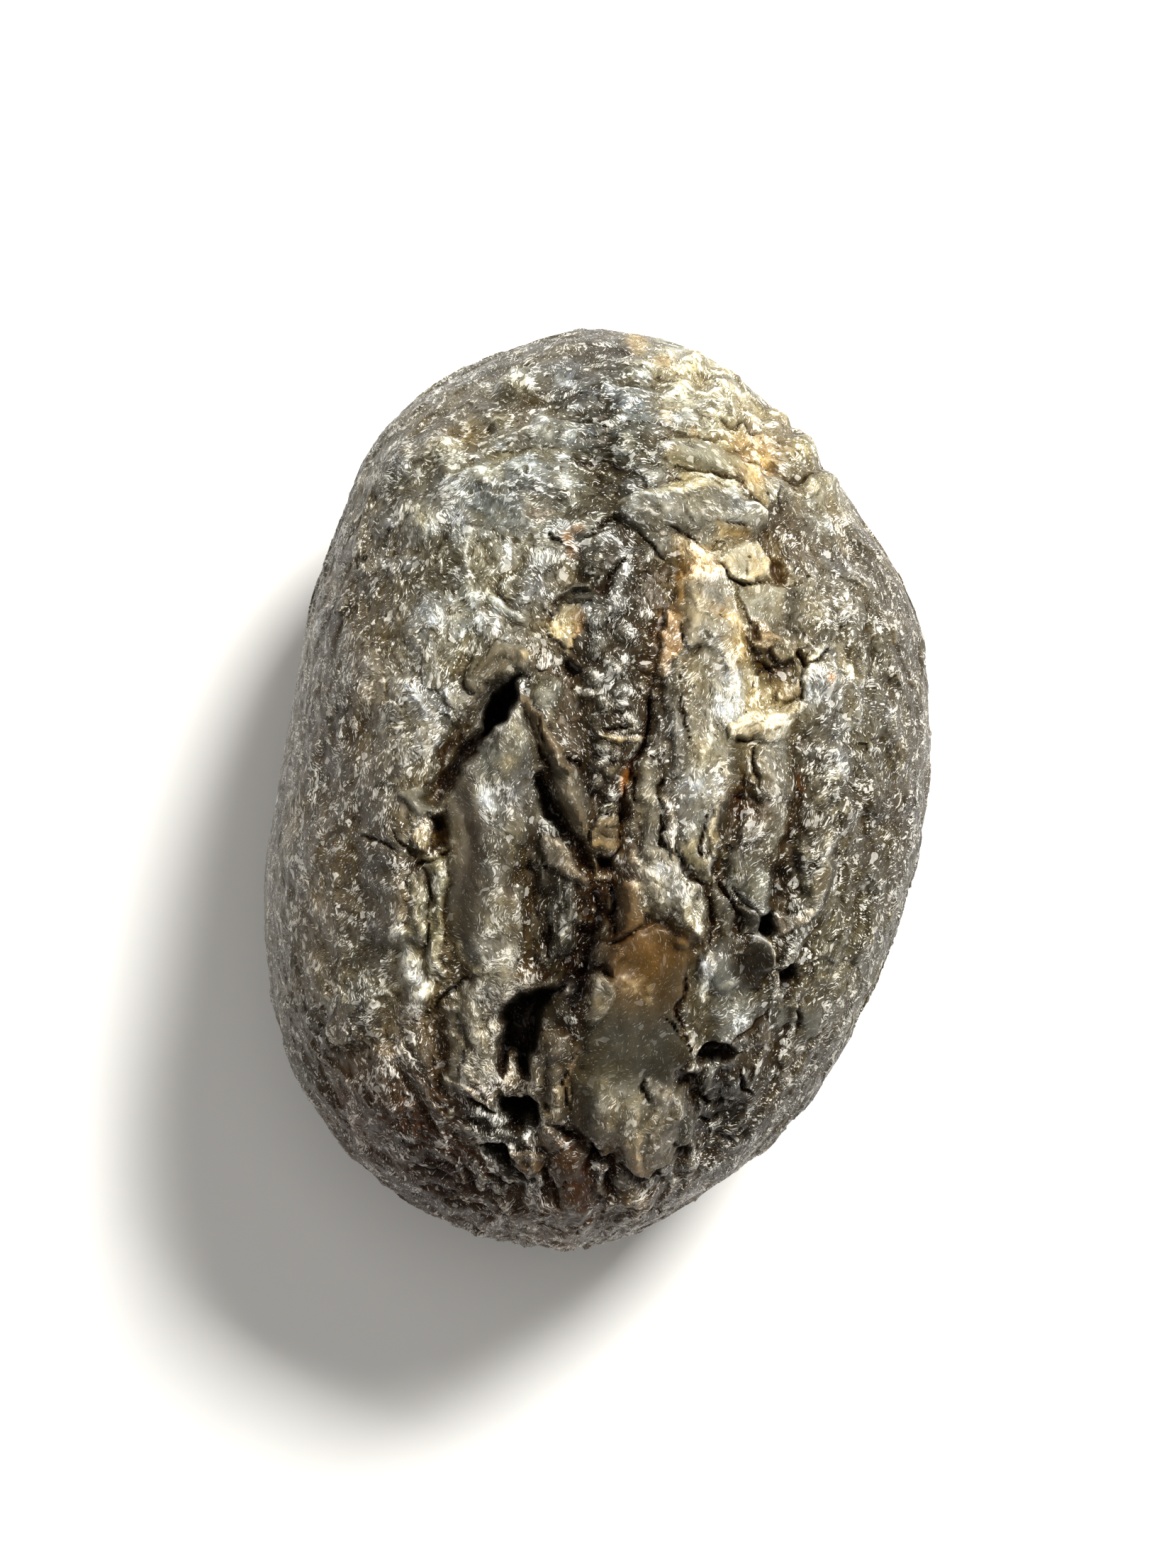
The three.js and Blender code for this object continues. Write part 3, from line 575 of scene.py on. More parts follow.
hollow([(-5.3, -17.0), (-3.8, -16.7), (-3.4, -17.2), (-3.2, -18.0), (-3.6, -18.6), (-4.5, -18.1),
        (-5.2, -17.6)], depth=4.2, wall=0.6)
patch([(-7.2, -17.6), (-5.2, -17.4), (-3.8, -18.8), (-5.4, -19.3), (-7.2, -18.8)],
      (0.055, 0.058, 0.056), 0.8)
fibres([(-7.4, -17.4), (-5.2, -17.4), (-3.6, -18.8), (-5.4, -19.3), (-7.4, -18.8)], (1.0, -0.45),
       0.5, 0.3, seed=37)
hollow([(-6.6, -19.5), (-5.9, -19.3), (-5.2, -19.4), (-4.8, -19.9), (-4.5, -20.6), (-3.9, -20.8),
        (-3.5, -21.3), (-4.6, -21.3), (-5.4, -20.8), (-6.2, -20.1)], depth=2.4, wall=0.4)
crack([(-4.7, -20.8), (-4.1, -21.1), (-3.4, -21.2)], 0.23, 0.56)
plate([(-4.8, -19.6), (-3.6, -19.6), (-2.8, -19.9), (-3.0, -20.6), (-3.9, -20.8), (-4.6, -20.2)],
      0.5, (0.0, 0.1), colour=(0.12, 0.095, 0.055), smooth=0.5)
for x, y, half in ((-8.4, -22.4, 1.0), (-6.6, -22.2, 1.2), (-7.4, -23.3, 1.1), (-9.2, -21.2, 0.9),
                   (-5.4, -21.6, 0.8)):
    crack([(x - half, y + 0.3), (x, y), (x + half, y - 0.2)], 0.4, 0.87, (0.02, 0.012, 0.008),
          shade=0.9)
scuff_and_glint(-8.6, -21.6, 2.4, -0.3)

# Columns left of the lower hollow.
patch([(-7.6, -10.4), (-6.0, -10.4), (-5.6, -12.8), (-5.8, -15.8), (-7.8, -15.6)],
      (0.110, 0.104, 0.084), 0.8, soft=0.4, smooth=0.2)
ridge([(-7.0, -10.8), (-6.7, -13.0), (-6.6, -15.4)], (0.5, 0.8, 0.6), 0.4,
      (0.115, 0.108, 0.09), smooth=0.3)
ridge([(-7.8, -11.8), (-7.7, -13.8), (-7.6, -15.4)], (0.3, 0.45, 0.35), 0.3,
      (0.095, 0.085, 0.07), smooth=0.4)
scuff_and_glint(-6.2, -14.2, 0.7, 0.5, long=2.0)
crack([(-6.5, -9.9), (-7.4, -10.2), (-8.2, -11.0), (-9.0, -12.3)], 0.33, 0.93, GLASS_DARK)
crack([(-7.3, -11.6), (-7.2, -13.6), (-7.2, -15.4)], 0.2, 0.56, GLASS_DARK)
crack([(-5.9, -11.8), (-5.8, -13.6), (-5.9, -15.4)], 0.23, 0.68, GLASS_DARK)
wash(-7.6, -15.9, 1.1, (0.22, 0.215, 0.19), 0.8)
ridge([(-6.9, -16.3), (-6.1, -16.9), (-5.5, -16.5)], (0.15, 0.2, 0.15), 0.2, RIND_TAN)
crack([(-6.9, -16.8), (-6.0, -17.3), (-5.2, -17.3)], 0.26, 0.74, GLASS_BROWN)
scuff_and_glint(-6.1, -16.0, 0.6, 1.0, long=0.7)
plate([(-8.3, -17.4), (-7.9, -17.4), (-7.8, -18.0), (-8.1, -18.1)], 0.25, colour=(0.45, 0.45, 0.38),
      edge=0.15)

# The dark fibrous plate between the lower hollow and the broad plate, and the flake at its foot.
patch([(-3.0, -12.8), (-1.8, -12.6), (-1.5, -14.4), (-1.6, -17.0), (-2.2, -18.2), (-3.2, -17.6),
       (-3.3, -15.2)], (0.075, 0.062, 0.040), 0.9, soft=0.3, smooth=0.35)
fibres([(-3.4, -12.8), (-1.5, -12.8), (-1.5, -17.8), (-3.3, -17.8)], (0.05, -1.0), 0.4, 0.25,
       seed=41)
scuff_and_glint(-2.3, -14.6, 1.2, -0.7, long=2.4)
stain_and_painted_light(-2.0, -12.4, 1.1, (0.5, 0.44, 0.36))
stain_and_painted_light(-2.4, -15.2, 1.2, (0.60, 0.56, 0.45), long=2.2)
ridge([(-1.3, -14.1), (-1.5, -15.5), (-1.4, -17.0)], (0.08, 0.14, 0.08), 0.25, RIND_TAN)
crack([(-1.7, -14.4), (-1.75, -15.8), (-1.6, -17.2)], 0.2, 0.74, GLASS_BROWN)
ridge([(-1.9, -16.0), (-2.1, -17.0), (-2.6, -17.6)], (0.3, 0.5, 0.4), 0.26, (0.11, 0.09, 0.05))
plate([(-3.2, -17.9), (-2.4, -18.2), (-1.9, -18.9), (-2.0, -19.4), (-2.6, -19.7), (-3.3, -19.3)],
      0.43, lean=(0.0, 0.2), colour=(0.17, 0.125, 0.065), smooth=0.6)
crack([(-2.4, -18.0), (-1.5, -18.8), (-0.8, -19.3)], 0.33, 1.4)

# The broad plate: one clean leaf with a ragged, scalloped lower edge. Its upper end, where it is
# thin, is painted amber: brown glass with a painted glow of light through it.
plate([(-0.3, -12.9), (0.3, -12.2), (0.9, -11.2), (0.8, -9.4), (1.4, -8.2), (3.2, -7.5),
       (4.9, -8.2), (5.0, -9.9), (4.4, -11.6), (4.2, -12.7), (4.5, -13.7), (4.7, -14.2),
       (4.65, -14.7), (4.3, -15.1), (4.15, -15.5), (4.25, -15.9), (4.7, -16.4), (5.0, -17.0),
       (5.1, -18.2), (4.9, -18.9), (4.2, -19.2), (4.0, -19.9), (3.2, -20.2), (2.6, -20.7),
       (2.0, -20.5), (1.6, -19.9), (1.1, -19.3), (0.7, -19.7), (0.3, -20.0), (-0.1, -19.4),
       (-0.9, -18.7), (-1.5, -17.8), (-1.2, -16.0), (-0.9, -14.6)],
      0.43, lean=(0.06, -0.02), edge=0.3, colour=(0.058, 0.054, 0.042), smooth=0.95, strength=0.95)
wash(1.6, -13.6, 2.6, (0.072, 0.073, 0.065), 0.9, long=0.8)
wash(0.8, -16.0, 2.3, (0.125, 0.125, 0.102), 0.85, long=1.1)
# The amber upper end: brown glass and a painted glow.
patch([(0.4, -8.4), (1.8, -7.2), (5.2, -7.6), (5.3, -10.4), (4.6, -12.0), (2.8, -12.4),
       (0.8, -11.4)], (0.122, 0.080, 0.035), 0.95, soft=1.0, smooth=0.9)
wash(2.9, -9.0, 2.9, (0.212, 0.113, 0.024), 0.95, long=0.9)
wash(1.6, -8.3, 1.1, (0.085, 0.046, 0.014), 0.8)
wash(4.4, -10.6, 1.1, (0.115, 0.085, 0.048), 0.6, long=1.3)
patch([(-1.4, -14.0), (-0.6, -12.6), (0.5, -12.0), (0.4, -14.0), (-0.3, -16.4), (-1.3, -17.4)],
      (0.100, 0.086, 0.052), 0.85, soft=0.7, smooth=0.8)
for x, y, radius in ((2.3, -11.0, 0.16), (2.1, -10.3, 0.2), (2.6, -11.5, 0.14), (2.4, -9.9, 0.12),
                     (1.9, -10.8, 0.14), (2.8, -10.6, 0.12), (3.1, -8.9, 0.1), (1.6, -9.9, 0.13)):
    wash(x, y, radius * 1.6, (0.75, 0.60, 0.36), 0.8)
patch([(-0.6, -17.4), (1.0, -15.8), (2.4, -15.6), (4.2, -16.2), (4.9, -17.4), (4.6, -19.0),
       (2.4, -20.4), (1.4, -19.4), (0.2, -19.6)], (0.275, 0.264, 0.215), 0.85, soft=0.8,
      smooth=0.35)
wash(3.6, -16.6, 1.4, (0.155, 0.137, 0.105), 0.7)
wash(2.4, -20.0, 0.8, (0.34, 0.27, 0.13), 0.8)
wash(-0.9, -16.8, 1.0, GLASS_BROWN, 0.6, long=1.8)
hollow([(2.8, -15.2), (2.55, -15.8), (2.6, -16.2), (2.75, -16.9), (2.55, -17.0), (2.4, -16.5),
        (2.1, -16.5), (2.2, -16.0), (2.5, -15.7)], depth=0.9, wall=0.25, colour=GLASS_DARK)
plate([(2.7, -15.2), (3.5, -15.6), (4.2, -16.2), (4.6, -17.4), (4.2, -19.0), (3.2, -19.6),
       (2.9, -18.0), (2.8, -16.8)], 0.22, (0.1, 0.0), colour=(0.20, 0.18, 0.14), smooth=0.4)
streak([(-0.3, -15.1), (0.1, -15.6), (0.6, -16.1), (1.1, -16.4)], 0.16, (0.5, 0.5, 0.47), 0.8)
streak([(2.2, -16.6), (2.3, -17.7), (2.5, -18.9)], 0.18, (0.6, 0.56, 0.45))
streak([(3.3, -16.3), (3.9, -16.6), (3.6, -17.4)], 0.35, (0.7, 0.66, 0.55), 0.8)
hollow([(-0.6, -19.3), (0.1, -20.0), (0.8, -20.0), (0.4, -20.6), (-0.3, -20.4)], depth=2.6,
       wall=0.4)
plate([(-0.4, -9.7), (0.3, -9.9), (0.9, -10.3), (1.0, -11.0), (0.7, -11.6), (0.0, -12.5),
       (-0.5, -12.6), (-0.9, -12.1), (-0.4, -11.4), (-0.3, -10.8)], 0.5, lean=(0.1, 0.1),
      colour=(0.170, 0.154, 0.116), smooth=0.6)

# The foot of the stone below it: brown glass, a dark fork and a rounded grey lobe.
patch([(-2.4, -19.6), (-0.9, -19.6), (-0.5, -20.6), (-0.6, -23.4), (-2.2, -23.8)],
      (0.070, 0.050, 0.028), 0.9, smooth=0.8)
scuff_and_glint(-0.5, -21.6, 2.0, -0.3)
crack([(-2.6, -21.0), (-2.4, -21.9), (-2.1, -22.8)], 0.33, 0.81, GLASS_BROWN)
crack([(-2.7, -22.4), (-2.2, -22.0), (-1.6, -21.2)], 0.2, 0.5, GLASS_BROWN)
crack([(1.2, -20.0), (1.9, -20.9), (2.8, -21.0), (3.4, -20.8)], 0.46, 0.93, GLASS_DARK)
lobe(1.8, -22.3, 1.8, 0.8)
wash(1.8, -22.0, 1.5, (0.17, 0.165, 0.135), 0.7)
crack([(1.6, -23.3), (2.6, -23.2), (3.4, -23.6)], 0.33, 0.62, GLASS_DARK)
hollow([(4.0, -19.4), (5.0, -19.1), (5.2, -20.2), (4.4, -20.8)], depth=0.8, wall=0.6,
       colour=(0.05, 0.04, 0.018))

# Right of the broad plate: smooth facets, the slot and the arch hollow under them.
patch([(5.4, -8.8), (6.4, -8.4), (7.6, -9.4), (8.6, -11.2), (8.6, -12.6), (7.4, -14.0),
       (5.2, -13.8), (4.7, -12.4), (5.0, -10.6)], (0.165, 0.162, 0.140), 0.85, soft=0.5,
      smooth=0.35)
plate([(6.9, -10.2), (7.7, -10.2), (7.1, -11.0), (6.3, -10.9)], 0.31, lean=(0.3, 0.2),
      colour=(0.22, 0.215, 0.18), smooth=1.0)
plate([(5.9, -9.4), (6.8, -9.2), (7.0, -10.2), (6.2, -10.8)], 0.19, lean=(-0.3, 0.1),
      colour=(0.12, 0.125, 0.115), smooth=0.9)
# A white ridge and thick white marks along the facet's left edge: painted glints.
ridge([(6.1, -8.6), (5.8, -9.8), (5.6, -10.8), (5.9, -11.6)], (0.15, 0.3, 0.35, 0.15), 0.2,
      (0.42, 0.40, 0.34), smooth=0.0)
scuff_and_glint(5.7, -10.3, 0.4, 1.4, long=2.4)
wash(7.8, -12.3, 1.2, (0.34, 0.33, 0.28), 0.6)
scuff_and_glint(7.9, -12.4, 0.8, 0.9)
wash(5.6, -12.8, 1.2, (0.105, 0.085, 0.06), 0.7)
crack([(4.95, -10.0), (4.6, -11.1), (4.35, -11.7), (4.25, -12.2), (4.35, -13.0)], 0.28, 1.2)
crack([(3.5, -12.3), (4.1, -13.1), (4.75, -14.1)], 0.17, 0.74, GLASS_DARK)
hollow([(4.9, -14.6), (5.4, -14.0), (6.2, -13.8), (7.2, -14.0), (7.8, -14.5), (7.0, -14.9),
        (6.0, -14.8), (5.4, -15.1)], depth=1.7, wall=0.4, colour=(0.014, 0.010, 0.006))
hollow([(4.3, -15.3), (5.0, -15.2), (5.6, -15.9), (5.2, -16.3), (4.5, -16.1)], depth=0.6, wall=0.5,
       colour=(0.055, 0.045, 0.018))
stain_and_painted_light(6.4, -15.3, 1.2, (0.45, 0.40, 0.32), long=0.8)
scuff_and_glint(6.4, -15.4, 1.4, -0.6, long=0.7)
crack([(9.1, -11.8), (8.7, -12.6), (8.1, -13.4), (7.4, -14.0)], 0.46, 0.74, (0.085, 0.052, 0.022))
plate([(8.6, -13.2), (9.2, -12.4), (9.3, -13.6), (8.8, -14.4)], 0.31, (0.2, 0.1),
      colour=(0.11, 0.08, 0.05), smooth=0.6)
scuff_and_glint(6.9, -17.3, 2.0, -0.3)
patch([(4.9, -16.4), (8.0, -16.2), (8.4, -18.0), (6.8, -19.6), (5.0, -19.0)],
      (0.026, 0.024, 0.02), 0.8, soft=0.9)
for path in (
    [(5.2, -16.6), (6.2, -17.3), (7.4, -17.2)], [(5.4, -18.3), (6.4, -18.6), (7.2, -18.0)],
    [(7.6, -15.4), (7.8, -16.4), (8.6, -16.8)], [(6.6, -19.4), (7.4, -19.7), (8.2, -19.2)],
):
    crack(path, 0.36, 0.81, SHADE_BLACK)

# The dark glassy facet and the eye hollow on the right.
plate([(7.2, -9.6), (8.2, -8.3), (8.8, -8.0), (9.3, -8.4), (9.7, -9.3), (9.1, -9.9), (8.7, -10.8),
       (8.0, -10.8)], 0.42, lean=(0.45, 0.48), colour=(0.006, 0.007, 0.008), smooth=1.0)
# A white line along the facet's upper rim: a painted highlight.
streak([(8.3, -8.25), (8.8, -8.0), (9.3, -8.3), (9.6, -8.9), (9.7, -9.4)], 0.2, (1.8, 1.7, 1.6))
hollow([(8.6, -6.7), (9.7, -6.7), (9.9, -7.8), (9.2, -8.1), (8.5, -7.9)], depth=3.4, wall=0.5)
plate([(9.7, -6.8), (10.6, -6.9), (11.2, -7.2), (10.5, -7.6), (9.8, -7.9)], 0.45, lean=(0.1, 0.15),
      colour=(0.22, 0.17, 0.11), smooth=0.4)
wash(11.0, -6.1, 0.7, GLASS_PALE, 0.7)
hollow([(9.7, -9.6), (10.3, -9.4), (11.2, -9.9), (11.1, -10.6), (10.6, -10.9), (9.8, -10.8)],
       depth=2.1, wall=0.5, colour=(0.016, 0.016, 0.016))
plate([(9.2, -9.9), (9.9, -9.6), (9.8, -10.6), (9.3, -10.7)], 0.31, (0.2, 0.1),
      colour=(0.20, 0.16, 0.12))
plate([(10.8, -11.6), (12.2, -11.9), (12.2, -13.6), (11.2, -13.6)], 0.12,
      colour=(0.15, 0.152, 0.13), smooth=0.9)
plate([(9.6, -11.6), (10.6, -11.4), (10.8, -12.8), (9.8, -13.2)], 0.19, (0.1, 0.2),
      colour=(0.12, 0.12, 0.10), smooth=0.7)
crack([(10.6, -11.2), (10.9, -12.6), (10.6, -14.0)], 0.23, 0.56, GLASS_DARK)

# The long pale column, from the earthy hollow at its head down to its swirled foot.
patch([(4.6, 11.4), (6.4, 11.6), (7.6, 9.0), (8.0, 5.2), (7.6, 1.2), (6.4, -1.6), (5.6, -3.6),
       (4.3, -3.2), (4.1, 0.0), (4.9, 3.0), (4.9, 7.4)], (0.235, 0.222, 0.180), 0.85, soft=0.4,
      smooth=0.3)
ridge([(4.7, 10.8), (4.9, 9.6), (5.1, 8.2)], (0.6, 0.9, 0.5), 0.45, (0.20, 0.195, 0.165),
      smooth=0.6)
ridge([(7.0, 10.0), (7.4, 7.6), (7.2, 5.2)], (0.4, 0.6, 0.4), 0.26, (0.33, 0.28, 0.19), 0.3)
wash(5.4, 6.0, 0.8, (0.21, 0.185, 0.12), 0.75, long=2.0)
wash(6.9, 5.0, 1.3, (0.50, 0.50, 0.45), 0.75, long=1.8)
scuff_and_glint(6.8, 4.8, 1.2, 0.8, long=1.8)
wash(6.0, 1.6, 1.6, (0.29, 0.285, 0.25), 0.8, long=1.7)
wash(4.8, -1.0, 1.4, (0.185, 0.182, 0.160), 0.8, long=1.6)
wash(5.6, 11.6, 1.6, (0.46, 0.35, 0.19), 0.5)
wash(5.2, 9.4, 1.5, (0.40, 0.33, 0.20), 0.7, long=1.2)
hollow([(5.3, 8.0), (5.8, 7.8), (5.4, 7.2), (5.0, 7.1)], depth=0.8, wall=0.35,
       colour=(0.07, 0.055, 0.03))
streak([(5.4, 10.3), (6.2, 9.7), (7.2, 8.8), (7.9, 7.7), (7.7, 6.8)], 0.42, (0.52, 0.39, 0.20),
       0.95)
patch([(7.3, 8.2), (8.0, 8.0), (7.9, 6.6), (7.4, 6.4)], (0.46, 0.37, 0.22), 0.85, soft=0.25,
      smooth=0.0)
crack([(7.6, 8.4), (8.0, 7.5), (7.8, 6.6)], 0.15, 0.4, (0.14, 0.085, 0.04))
ridge([(4.7, 8.0), (4.3, 6.5), (4.0, 4.5), (4.2, 2.6), (4.1, 0.6)], (0.35, 0.5, 0.5, 0.45, 0.3),
      0.5, (0.085, 0.080, 0.068), smooth=0.4)
fibres([(4.6, 8.1), (4.3, 5.0), (4.6, 0.8), (3.7, 0.8), (3.6, 4.4), (4.1, 7.4)], (0.1, 1.0),
       0.3, 0.14, seed=53)
crack([(4.85, 7.4), (4.5, 6.0), (4.45, 4.6), (4.7, 3.2), (4.9, 2.2)], 0.15, 0.5,
      (0.085, 0.055, 0.026))
plate([(3.9, 9.3), (4.4, 9.0), (4.4, 7.6), (4.0, 6.9), (3.7, 5.9), (3.3, 5.9), (3.3, 6.8),
       (3.5, 7.6), (3.4, 8.5)], 0.56, lean=(0.1, 0.05), colour=(0.34, 0.23, 0.13), smooth=0.2)
for x, y, radius in ((2.7, 6.3, 0.6), (2.4, 5.2, 0.55), (3.1, 4.9, 0.45)):
    lobe(x, y, radius, 0.6)
    wash(x, y, radius, (0.15, 0.11, 0.08), 0.8)
ridge([(2.9, 1.4), (2.9, 0.0), (2.8, -1.8), (2.9, -3.0)], (0.4, 0.6, 0.65, 0.5), 0.45,
      (0.16, 0.152, 0.125), smooth=0.6)
wash(2.3, -1.4, 0.5, (0.55, 0.54, 0.48), 0.7)
crack([(2.15, 0.9), (2.1, -0.9)], 0.23, 0.81, GLASS_DARK)
crack([(3.55, 0.3), (3.5, -0.8)], 0.23, 0.81, (0.04, 0.03, 0.02))
ridge([(3.7, -0.6), (3.8, -1.8), (3.75, -3.0)], (0.2, 0.3, 0.2), 0.52, (0.20, 0.165, 0.115))
crack([(3.4, -1.6), (3.5, -2.8), (3.95, -3.6)], 0.2, 0.74, (0.05, 0.035, 0.02))

# Its foot: a bright swirled lobe, and the slot and blades beside it.
plate([(1.7, -3.15), (1.85, -4.35), (2.0, -5.5), (2.3, -6.7), (3.0, -7.3), (4.0, -7.1),
       (4.8, -7.3), (5.4, -7.6), (5.95, -7.1), (5.95, -5.95), (5.55, -5.35), (5.0, -4.9),
       (4.5, -4.1), (4.2, -3.4), (3.6, -2.9)], 0.5, lean=(0.12, 0.05), edge=0.5,
      colour=(0.185, 0.17, 0.13), smooth=0.3)
patch([(1.9, -3.4), (4.0, -3.4), (4.6, -4.9), (5.9, -6.0), (5.9, -7.1), (4.8, -7.4), (3.0, -7.2),
       (2.2, -6.2)], (0.230, 0.215, 0.180), 0.9, soft=0.3, smooth=0.15)
wash(4.9, -6.3, 1.1, (0.26, 0.240, 0.190), 0.5)
patch([(1.6, -3.1), (2.0, -3.1), (2.1, -5.4), (1.7, -5.2)], (0.115, 0.075, 0.04), 0.7, soft=0.2)
crack([(2.6, -4.6), (3.6, -4.9), (4.2, -5.7), (3.6, -6.4), (2.8, -6.0)], 0.17, 0.22,
      (0.11, 0.10, 0.08), shade=0.7)
streak([(1.9, -4.8), (2.1, -5.3), (2.3, -5.4)], 0.35, (0.7, 0.68, 0.58))
crack([(3.9, -3.0), (4.4, -3.5), (4.6, -4.3), (5.1, -4.9), (5.7, -5.2), (6.0, -5.8)], 0.22, 0.8,
      (0.030, 0.019, 0.009))
plate([(4.5, -3.0), (5.0, -4.4), (5.6, -5.0), (6.1, -5.1), (6.2, -4.7), (5.8, -4.2), (5.5, -3.5),
       (5.4, -2.6)], 0.31, lean=(0.2, 0.1), colour=(0.27, 0.24, 0.155), smooth=0.6)
crack([(6.1, -1.2), (5.85, -2.2), (5.6, -3.2), (5.7, -3.8)], 0.2, 0.7, (0.12, 0.07, 0.02))
ridge([(6.55, -1.0), (6.35, -2.4), (6.3, -3.6)], (0.15, 0.28, 0.22), 0.59, (0.40, 0.33, 0.20))
ridge([(7.1, -0.3), (6.8, -1.2), (6.8, -2.4)], (0.25, 0.4, 0.3), 0.33, (0.10, 0.09, 0.07), 0.7)
ridge([(6.2, -3.6), (5.9, -4.1), (6.0, -4.6)], (0.15, 0.2, 0.1), 0.2, (0.55, 0.53, 0.47))
hollow([(7.2, -0.1), (7.7, 0.0), (7.8, -0.4), (7.3, -0.5)], depth=0.6, wall=0.3,
       colour=(0.07, 0.03, 0.012))
hollow([(7.8, 0.2), (8.6, 0.1), (8.8, -0.7), (8.2, -1.2), (7.8, -0.8)], depth=0.4, wall=0.5,
       colour=(0.070, 0.066, 0.045), smooth=0.5)
plate([(6.6, 1.2), (7.6, 0.6), (7.2, 0.0), (6.6, 0.0)], 0.31, (0.2, 0.3), colour=(0.23, 0.20, 0.14))

# The right-hand lobe and the small plates under it.
patch([(6.4, -3.2), (7.8, -3.2), (8.8, -4.4), (9.3, -5.8), (8.8, -6.8), (8.0, -6.4), (7.2, -5.0),
       (6.4, -4.2)], (0.125, 0.128, 0.112), 0.85, soft=0.25, smooth=0.4)
wash(8.8, -5.2, 0.9, (0.30, 0.31, 0.29), 0.75, long=1.5)
wash(7.2, -4.2, 0.6, (0.07, 0.065, 0.05), 0.5)
ridge([(6.3, -5.2), (6.7, -6.2), (6.9, -7.6)], (0.3, 0.5, 0.35), 0.52, (0.095, 0.088, 0.068), 0.6)
crack([(6.25, -4.9), (6.9, -5.2), (7.3, -6.0), (7.5, -7.0), (7.6, -8.0)], 0.23, 0.87,
      (0.07, 0.05, 0.015))
crack([(6.1, -5.6), (6.2, -7.0), (6.0, -8.0)], 0.2, 0.62, GLASS_BROWN)
plate([(7.6, -6.3), (8.4, -6.8), (8.4, -7.9), (7.7, -8.0)], 0.31, lean=(0.2, 0.1),
      colour=(0.085, 0.082, 0.068), smooth=0.9)
crack([(7.3, -5.0), (8.0, -6.2), (8.6, -6.8)], 0.2, 0.62, GLASS_DARK)
plate([(6.4, -7.9), (7.2, -7.9), (7.1, -8.9), (6.3, -8.7)], 0.31, (0.1, 0.1),
      colour=(0.055, 0.056, 0.05), smooth=1.0)

# Ridges on the right, running down to the rim.
ridge([(7.6, 2.4), (7.5, 1.4), (7.4, 0.6)], (0.4, 0.5, 0.3), 0.33, (0.13, 0.12, 0.09), 0.5)
patch([(8.7, 2.6), (10.2, 2.6), (10.4, -0.6), (9.8, -3.2), (8.8, -3.4), (8.4, -0.8)],
      (0.155, 0.142, 0.105), 0.8, soft=0.4, smooth=0.3)
wash(9.6, 1.6, 1.1, (0.34, 0.32, 0.26), 0.7, long=1.3)
wash(8.2, -2.0, 1.2, (0.125, 0.115, 0.090), 0.7, long=1.3)
crack([(8.3, 2.0), (8.5, 1.1), (8.6, 0.2)], 0.23, 0.68, (0.09, 0.065, 0.03))
crack([(10.8, 0.9), (10.9, 0.0), (10.5, -1.2)], 0.3, 0.6, GLASS_DARK)
crack([(10.3, -1.7), (10.4, -2.6), (10.0, -3.6)], 0.3, 0.6, GLASS_DARK)
streak([(10.9, 0.5), (10.85, 0.0), (10.6, -0.5)], 0.45, RUST, 0.9)
streak([(10.2, -0.6), (10.2, -1.8), (9.9, -3.2)], 0.4, RIND_TAN, 0.8)
for outline in ([(9.3, -4.3), (10.3, -4.3), (10.4, -6.2), (9.5, -6.0)],
                [(10.6, -3.2), (11.2, -3.6), (11.1, -5.6), (10.6, -5.8)]):
    hollow(outline, depth=0.8, wall=0.5, colour=(0.026, 0.026, 0.026), smooth=0.3)
for x, y in ((10.6, -1.0), (11.2, -0.6), (10.8, -2.4), (10.6, -4.6)):
    wash(x, y, 1.0, (0.026, 0.027, 0.028), 0.75)
plate([(11.4, -4.4), (12.4, -4.0), (12.6, -5.0), (12.0, -6.2), (11.3, -6.0)], 0.37, (0.1, 0.1),
      colour=(0.13, 0.105, 0.065), smooth=0.4)
for x, y, radius in ((13.1, -1.2, 0.6), (12.7, -2.7, 0.8), (12.2, -3.7, 0.6), (11.0, -4.9, 0.5),
                     (11.3, -6.6, 0.6), (13.0, 0.8, 0.7)):
    wash(x, y, radius, (0.50, 0.44, 0.32), 0.7)

# Cream fold and the pocket over it.
ridge([(7.3, 3.0), (8.6, 3.3), (9.8, 3.6), (10.8, 4.4)], (0.5, 1.0, 0.9, 0.4), 0.72,
      (0.60, 0.53, 0.38), smooth=0.3)
fibres([(7.2, 2.4), (9.4, 2.4), (11.0, 3.8), (10.4, 4.8), (7.2, 4.2)], (1.0, 0.25), 0.45, 0.25,
       seed=51)
hollow([(7.5, 2.6), (8.3, 2.5), (8.1, 2.3), (7.6, 2.35)], depth=0.7, wall=0.2,
       colour=(0.030, 0.016, 0.008))
hollow([(8.2, 7.3), (10.2, 7.1), (10.5, 6.5), (9.7, 5.5), (8.6, 5.4), (8.2, 6.2)], depth=0.5,
       wall=0.8, colour=(0.120, 0.102, 0.056), smooth=0.2)
patch([(8.2, 7.5), (9.3, 7.4), (10.3, 7.1), (11.2, 6.4), (10.6, 6.5), (9.4, 6.9), (8.4, 7.0)],
      (0.042, 0.032, 0.016), 0.9, soft=0.2)
for path in ([(8.4, 7.2), (9.1, 6.6), (9.9, 6.9)], [(9.1, 6.6), (9.2, 5.8)],
             [(8.3, 6.0), (9.1, 6.6), (9.6, 6.2)]):
    crack(path, 0.2, 0.62)
plate([(9.6, 5.7), (10.8, 5.8), (10.9, 5.0), (10.2, 4.7), (9.6, 4.9)], 0.43, lean=(0.1, 0.1),
      colour=(0.34, 0.255, 0.13), smooth=0.3)
crack([(10.9, 6.0), (10.9, 4.9), (10.8, 4.0)], 0.2, 0.56, GLASS_BROWN)
ridge([(11.2, 4.9), (11.1, 6.4), (11.9, 7.7), (13.2, 7.6), (13.6, 6.0)], (0.2, 0.3, 0.3, 0.3, 0.2),
      0.23, (0.36, 0.34, 0.28))
